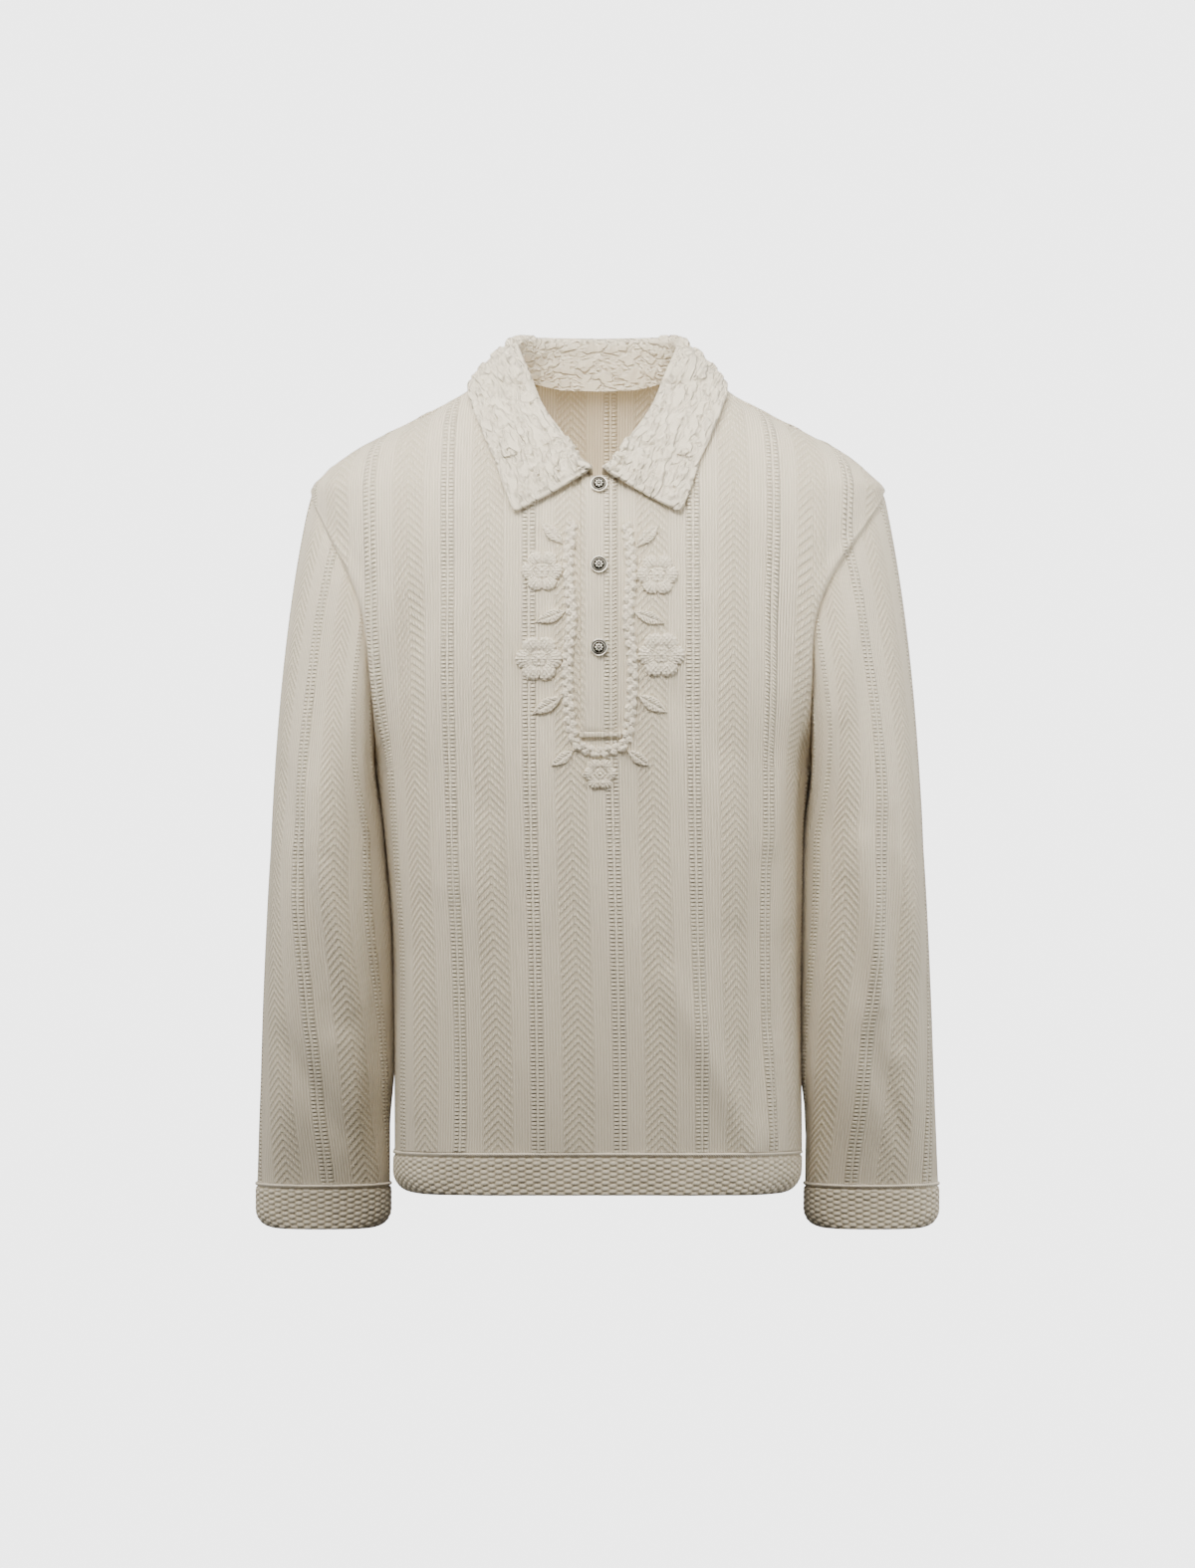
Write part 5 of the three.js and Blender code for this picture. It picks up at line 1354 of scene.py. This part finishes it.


# The same yarn, knitted denser into oval stitches under a twisted cord. Each stitch is a small pale cushion,
# and the pits round it are painted with shade, so the bands look firmer and more even than the panels.
def honeycombKnit(tree, across, drop):
    h = honeycomb
    column = addNode(
        tree, "ShaderNodeMath",
        addNode(tree, "ShaderNodeMath", across, h["columnPitch"], operation="DIVIDE"), operation="ROUND",
    )
    odd = addNode(tree, "ShaderNodeMath", column, 2.0, 0.0, operation="WRAP")
    shifted = addNode(tree, "ShaderNodeMath", odd, h["rowPitch"] / 2, drop, operation="MULTIPLY_ADD")
    du = addNode(
        tree, "ShaderNodeMath",
        addNode(tree, "ShaderNodeMath", column, -h["columnPitch"], across, operation="MULTIPLY_ADD"),
        h["stitchHalfWidth"], operation="DIVIDE",
    )
    row = addNode(
        tree, "ShaderNodeMath",
        addNode(tree, "ShaderNodeMath", shifted, h["rowPitch"], operation="DIVIDE"), operation="ROUND",
    )
    dv = addNode(
        tree, "ShaderNodeMath",
        addNode(tree, "ShaderNodeMath", row, -h["rowPitch"], shifted, operation="MULTIPLY_ADD"),
        h["stitchHalfHeight"], operation="DIVIDE",
    )
    away = addNode(
        tree, "ShaderNodeMath",
        addNode(
            tree, "ShaderNodeMath", du, du,
            addNode(tree, "ShaderNodeMath", dv, dv, operation="MULTIPLY"), operation="MULTIPLY_ADD",
        ),
        operation="SQRT",
    )
    stitch = addNode(
        tree, "ShaderNodeMapRange", away, 1.12, 0.35, 0.0, 1.0, interpolation_type="SMOOTHSTEP",
    )
    onCord = addNode(tree, "ShaderNodeMapRange", drop, 3.1, 3.7, 1.0, 0.0, interpolation_type="SMOOTHSTEP")
    twist = wave(tree, addNode(tree, "ShaderNodeMath", across, drop, operation="ADD"), h["cordTwist"])
    fuzz = grain(tree, across, drop, h["fuzz"])
    relief = addNode(
        tree, "ShaderNodeMath", addNode(tree, "ShaderNodeMath", 1.0, onCord, operation="SUBTRACT"),
        addNode(tree, "ShaderNodeMath", stitch, h["yarnRise"], operation="MULTIPLY"),
        operation="MULTIPLY",
    )
    relief = addNode(
        tree, "ShaderNodeMath", addNode(tree, "ShaderNodeMath", twist, onCord, operation="MULTIPLY"),
        h["twistRise"], relief, operation="MULTIPLY_ADD",
    )
    height = addNode(tree, "ShaderNodeMath", fuzz, h["fuzzRise"], relief, operation="MULTIPLY_ADD")
    yarn = addNode(
        tree, "ShaderNodeMix", inputs={0: fuzz, 6: colour(h["yarnShade"]), 7: colour(h["yarnLight"])},
        data_type="RGBA",
    ).outputs[2]
    # Painted shade in the pits round the stitches; the stitches and the cord keep the yarn's colour
    lit = addNode(tree, "ShaderNodeMath", stitch, onCord, operation="MAXIMUM")
    tint = addNode(
        tree, "ShaderNodeMix", inputs={0: lit, 6: colour(h["paintedPitShade"]), 7: yarn}, data_type="RGBA",
    ).outputs[2]
    return tint, height


# Thick cotton cloth, embossed with flowers, so that it puckers between them. It gives broad soft creases
# without any shine. Its threads are too fine to show, so they are drawn 1.7 mm apart.
collarLook = dict(fuzz=0.9, threads=1.7, pucker=15.0, puckerRise=1.9, shade="#d6ccb7", light="#efe8d6")


def collarWeave(tree, across, up):
    w = collarLook
    fuzz = grain(tree, across, up, w["fuzz"], 3.0)
    weave = addNode(
        tree, "ShaderNodeMath", wave(tree, across, w["threads"]), wave(tree, up, w["threads"]),
        operation="MULTIPLY",
    )
    pucker = grain(
        tree, addNode(tree, "ShaderNodeMath", across, 0.6, operation="MULTIPLY"),
        addNode(tree, "ShaderNodeMath", up, 1.3, operation="MULTIPLY"), w["pucker"], 2.5,
    )
    pucker = addNode(
        tree, "ShaderNodeMapRange",
        addNode(
            tree, "ShaderNodeMath", addNode(tree, "ShaderNodeMath", pucker, 0.5, operation="SUBTRACT"),
            operation="ABSOLUTE",
        ),
        0.0, 0.09, 0.0, 1.0, interpolation_type="SMOOTHSTEP",
    )
    height = addNode(
        tree, "ShaderNodeMath", weave, 0.1,
        addNode(tree, "ShaderNodeMath", fuzz, 0.14, operation="MULTIPLY"), operation="MULTIPLY_ADD",
    )
    height = addNode(tree, "ShaderNodeMath", pucker, w["puckerRise"], height, operation="MULTIPLY_ADD")
    # The colour: random fuzz, and painted shade a little darker along the crease lines
    lit = addNode(
        tree, "ShaderNodeMath", fuzz, 0.6,
        addNode(tree, "ShaderNodeMath", pucker, 0.15, operation="MULTIPLY"), operation="MULTIPLY_ADD",
    )
    tint = addNode(
        tree, "ShaderNodeMix", inputs={0: lit, 6: colour(w["shade"]), 7: colour(w["light"])},
        data_type="RGBA",
    ).outputs[2]
    return tint, height


# Thick cotton yarn, crocheted by hand into small bobbles in slanting rows. They stand clear of the cloth and
# look knobbly and pale, with a painted highlight on each bobble and painted shade between them.
crochetLook = dict(fuzz=0.9, bobbles=4.4, bobbleRise=0.5, shade="#d3c9b4", light="#efe8d8")


def crochetYarn(tree, across, up):
    y = crochetLook
    fuzz = grain(tree, across, up, y["fuzz"], 3.0)
    ahead = addNode(tree, "ShaderNodeMath", across, up, operation="ADD")
    back = addNode(tree, "ShaderNodeMath", across, up, operation="SUBTRACT")
    bobbles = addNode(
        tree, "ShaderNodeMath", wave(tree, ahead, y["bobbles"]), wave(tree, back, y["bobbles"]),
        operation="MULTIPLY",
    )
    height = addNode(
        tree, "ShaderNodeMath", bobbles, y["bobbleRise"],
        addNode(tree, "ShaderNodeMath", fuzz, 0.3, operation="MULTIPLY"), operation="MULTIPLY_ADD",
    )
    # The colour: a painted highlight on the bobbles and painted shade between them, over random fuzz
    lit = addNode(
        tree, "ShaderNodeMath", bobbles, 0.4,
        addNode(tree, "ShaderNodeMath", fuzz, 0.6, operation="MULTIPLY"), operation="MULTIPLY_ADD",
    )
    tint = addNode(
        tree, "ShaderNodeMix", inputs={0: lit, 6: colour(y["shade"]), 7: colour(y["light"])},
        data_type="RGBA",
    ).outputs[2]
    return tint, height


# White metal, cast in relief and polished. Its colour is bright on the raised parts, with painted shade in
# the ring between dome and rim and small dark pits on the dome, so that the dome and rim flash and a dark
# ring parts them. As a metal it keeps the default IOR.
# recess is the colour of the painted shade in the ring between dome and rim, and of the pits
metalLook = dict(recess="#2b251d", polish="#efece2")


def paleMetal(tree, radius, height):
    groove = addNode(
        tree, "ShaderNodeMapRange",
        addNode(
            tree, "ShaderNodeMath", addNode(tree, "ShaderNodeMath", radius, 5.5, operation="SUBTRACT"),
            operation="ABSOLUTE",
        ),
        0.2, 0.7, 0.0, 1.0, interpolation_type="SMOOTHSTEP",
    )
    pits = addNode(
        tree, "ShaderNodeMapRange", grain(tree, radius, height, 1.6), 0.44, 0.56, 0.0, 1.0,
        interpolation_type="SMOOTHSTEP",
    )
    onDome = addNode(
        tree, "ShaderNodeMapRange", radius, 4.3, 5.0, 1.0, 0.0, interpolation_type="SMOOTHSTEP",
    )
    # Painted shade in the ring between dome and rim, and random dark pits on the dome; elsewhere the
    # polished colour
    clearOfPitsAndPaintedShade = addNode(
        tree, "ShaderNodeMath", groove,
        addNode(
            tree, "ShaderNodeMath", pits,
            addNode(tree, "ShaderNodeMath", 1.0, onDome, operation="SUBTRACT"), operation="MAXIMUM",
        ),
        operation="MULTIPLY",
    )
    tint = addNode(
        tree, "ShaderNodeMix",
        inputs={0: clearOfPitsAndPaintedShade, 6: colour(metalLook["recess"]), 7: colour(metalLook["polish"])},
        data_type="RGBA",
    ).outputs[2]
    return tint, addNode(tree, "ShaderNodeMath", clearOfPitsAndPaintedShade, 0.3, operation="MULTIPLY")


# Gives a piece its material and lets it stand for the CAD nodes named
def dress(piece, material, slot, *nodes):
    piece.data.materials.append(material)
    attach(piece, "root")
    if nodes:
        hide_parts(*nodes)
    return piece


# Reads a piece's cloth coordinates into an array that is not used further
def layFlat(piece):
    places = np.empty(2 * len(piece.data.loops))
    piece.data.uv_layers["cloth"].data.foreach_get("uv", places)


# The camera stands in front, level with the shirt's middle
camera = dict(distance=4.0, middleZ=-0.3465, heightInView=1.323, sensor=36.0)


def addCamera():
    data = bpy.data.cameras.new("camera")
    data.sensor_width = camera["sensor"]
    data.lens = camera["sensor"] * camera["distance"] / camera["heightInView"]
    data.clip_start, data.clip_end = 0.1, 60
    eye = bpy.data.objects.new("camera", data)
    eye.location = (0, -camera["distance"], camera["middleZ"])
    eye.rotation_euler = (math.pi / 2, 0, 0)
    bpy.context.scene.collection.objects.link(eye)
    bpy.context.scene.camera = eye


def areaLight(name, place, target, size, power, tint, spread):
    data = bpy.data.lights.new(name, "AREA")
    data.shape = "RECTANGLE"
    data.size, data.size_y = size
    data.energy = power
    data.color = colour(tint)[:3]
    data.spread = math.radians(spread)
    light = bpy.data.objects.new(name, data)
    light.location = place
    light.rotation_euler = (Vector(target) - Vector(place)).to_track_quat("-Z", "Y").to_euler()
    bpy.context.scene.collection.objects.link(light)


# A pale studio: a plain backdrop seen by the camera, soft light from above and a weak fill
studio = dict(
    backdrop="#e8e8e8",
    seenStrength=4.8,
    fill="#fbf4e8",
    fillStrength=0.07,
    lights=[
        ("high soft light", (-0.3, -0.95, 0.72), (0, 0, -0.08), (1.2, 0.5), 6.3, "#fffaf2", 60),
        ("top light", (0, -0.35, 0.9), (0, 0, -0.05), (1.2, 0.4), 1.8, "#fffaf2", 70),
        ("front fill", (0.3, -2.3, 0.55), (0, 0, -0.12), (1.0, 0.8), 0.8, "#fff4e4", 50),
        ("left front light", (-1.3, -0.8, 0.1), (-0.2, 0, -0.2), (0.4, 0.9), 1.0, "#fffdf8", 60),
        ("right front light", (1.3, -0.8, 0.1), (0.2, 0, -0.2), (0.4, 0.9), 1.4, "#fffdf8", 60),
        ("left side light", (-1.5, -0.35, -0.1), (-0.2, 0, -0.3), (0.5, 1.4), 4.9, "#fffdf8", 180),
        ("right side light", (1.5, -0.35, -0.1), (0.2, 0, -0.3), (0.5, 1.4), 7.3, "#fffdf8", 180),
        ("left rim light", (-1.5, 0.3, 0.1), (0, 0, -0.3), (0.6, 1.6), 4.5, "#ffffff", 180),
        ("right rim light", (1.5, 0.3, 0.1), (0, 0, -0.3), (0.6, 1.6), 8.5, "#ffffff", 180),
        ("glow inside the neck", (0, -0.03, -0.13), (0, 0.09, -0.03), (0.09, 0.05), 0.15, "#ffe6bf", 180),
    ],
)


def addStudio():
    world = bpy.data.worlds.new("studio")
    bpy.context.scene.world = world
    world.use_nodes = True
    tree = world.node_tree
    tree.nodes.clear()
    seen = addNode(tree, "ShaderNodeBackground",
                   inputs={"Color": colour(studio["backdrop"]), "Strength": studio["seenStrength"]})
    fill = addNode(tree, "ShaderNodeBackground",
                   inputs={"Color": colour(studio["fill"]), "Strength": studio["fillStrength"]})
    path = addNode(tree, "ShaderNodeLightPath")
    choice = addNode(tree, "ShaderNodeMixShader", path.outputs["Is Camera Ray"], fill, seen)
    addNode(tree, "ShaderNodeOutputWorld", choice)
    for light in studio["lights"]:
        areaLight(*light)


def build():
    addCamera()
    addStudio()
    print("camera and studio are up")
    knit = clothMaterial("off-white striped cotton knit", stripedKnit)
    honey = clothMaterial("honeycomb cotton knit", honeycombKnit)
    weave = clothMaterial("thick embossed collar cloth", collarWeave)
    yarn = clothMaterial("off-white crochet cotton", crochetYarn)
    metal = clothMaterial("pale button metal", paleMetal, roughness=0.3, sheen=0.0, metallic=1.0)
    front = dress(frontPanel(), knit, "ribbed_knit", "front")
    back = dress(backPanel(), knit, "ribbed_knit", "back")
    print("panels are made")
    sleeves = [dress(sleeve(side), knit, "ribbed_knit", node)
               for side, node in ((1, "sleeve_left"), (-1, "sleeve_right"))]
    cuffs = [dress(cuff(side), honey, "honeycomb_knit", node)
             for side, node in ((1, "cuff_left"), (-1, "cuff_right"))]
    hem = dress(hemBand(), honey, "honeycomb_knit", "hem_band")
    print("sleeves and bands are made")
    neck = dress(collar(), weave, "collar_cloth", "collar")
    nodes = ("placket_under", "placket_top", "placket_bar")
    strips = [dress(piece, knit, "ribbed_knit", node) for piece, node in zip(plackets(), nodes)]
    print("collar and placket are made")
    dress(stem(), yarn, "applique_yarn", "applique_stem")
    for i, (x, z, radius) in enumerate(zip(*motifs["rosettes"].values()), 1):
        dress(rosette(f"crochet_rosette_{i}", x, z, radius), yarn, "applique_yarn", f"applique_rosette_{i}")
    for i, (x, z, length, turn) in enumerate(zip(*motifs["leaves"].values()), 1):
        dress(leaf(f"crochet_leaf_{i}", x, z, length, turn), yarn, "applique_yarn", f"applique_leaf_{i}")
    for i, z in enumerate(buttonSizes["heights"], 1):
        dress(button(f"metal_button_{i}", buttonSizes["x"], z), metal, "button_metal", f"button_{i}")
    print("crochet and buttons are made")
    layFlat(front)
    layFlat(back)
    for piece, cuffPiece in zip(sleeves, cuffs):
        layFlat(piece)
        layFlat(cuffPiece)
    layFlat(hem)
    layFlat(neck)
    under, top, bar = strips
    layFlat(under)
    layFlat(top)


build()
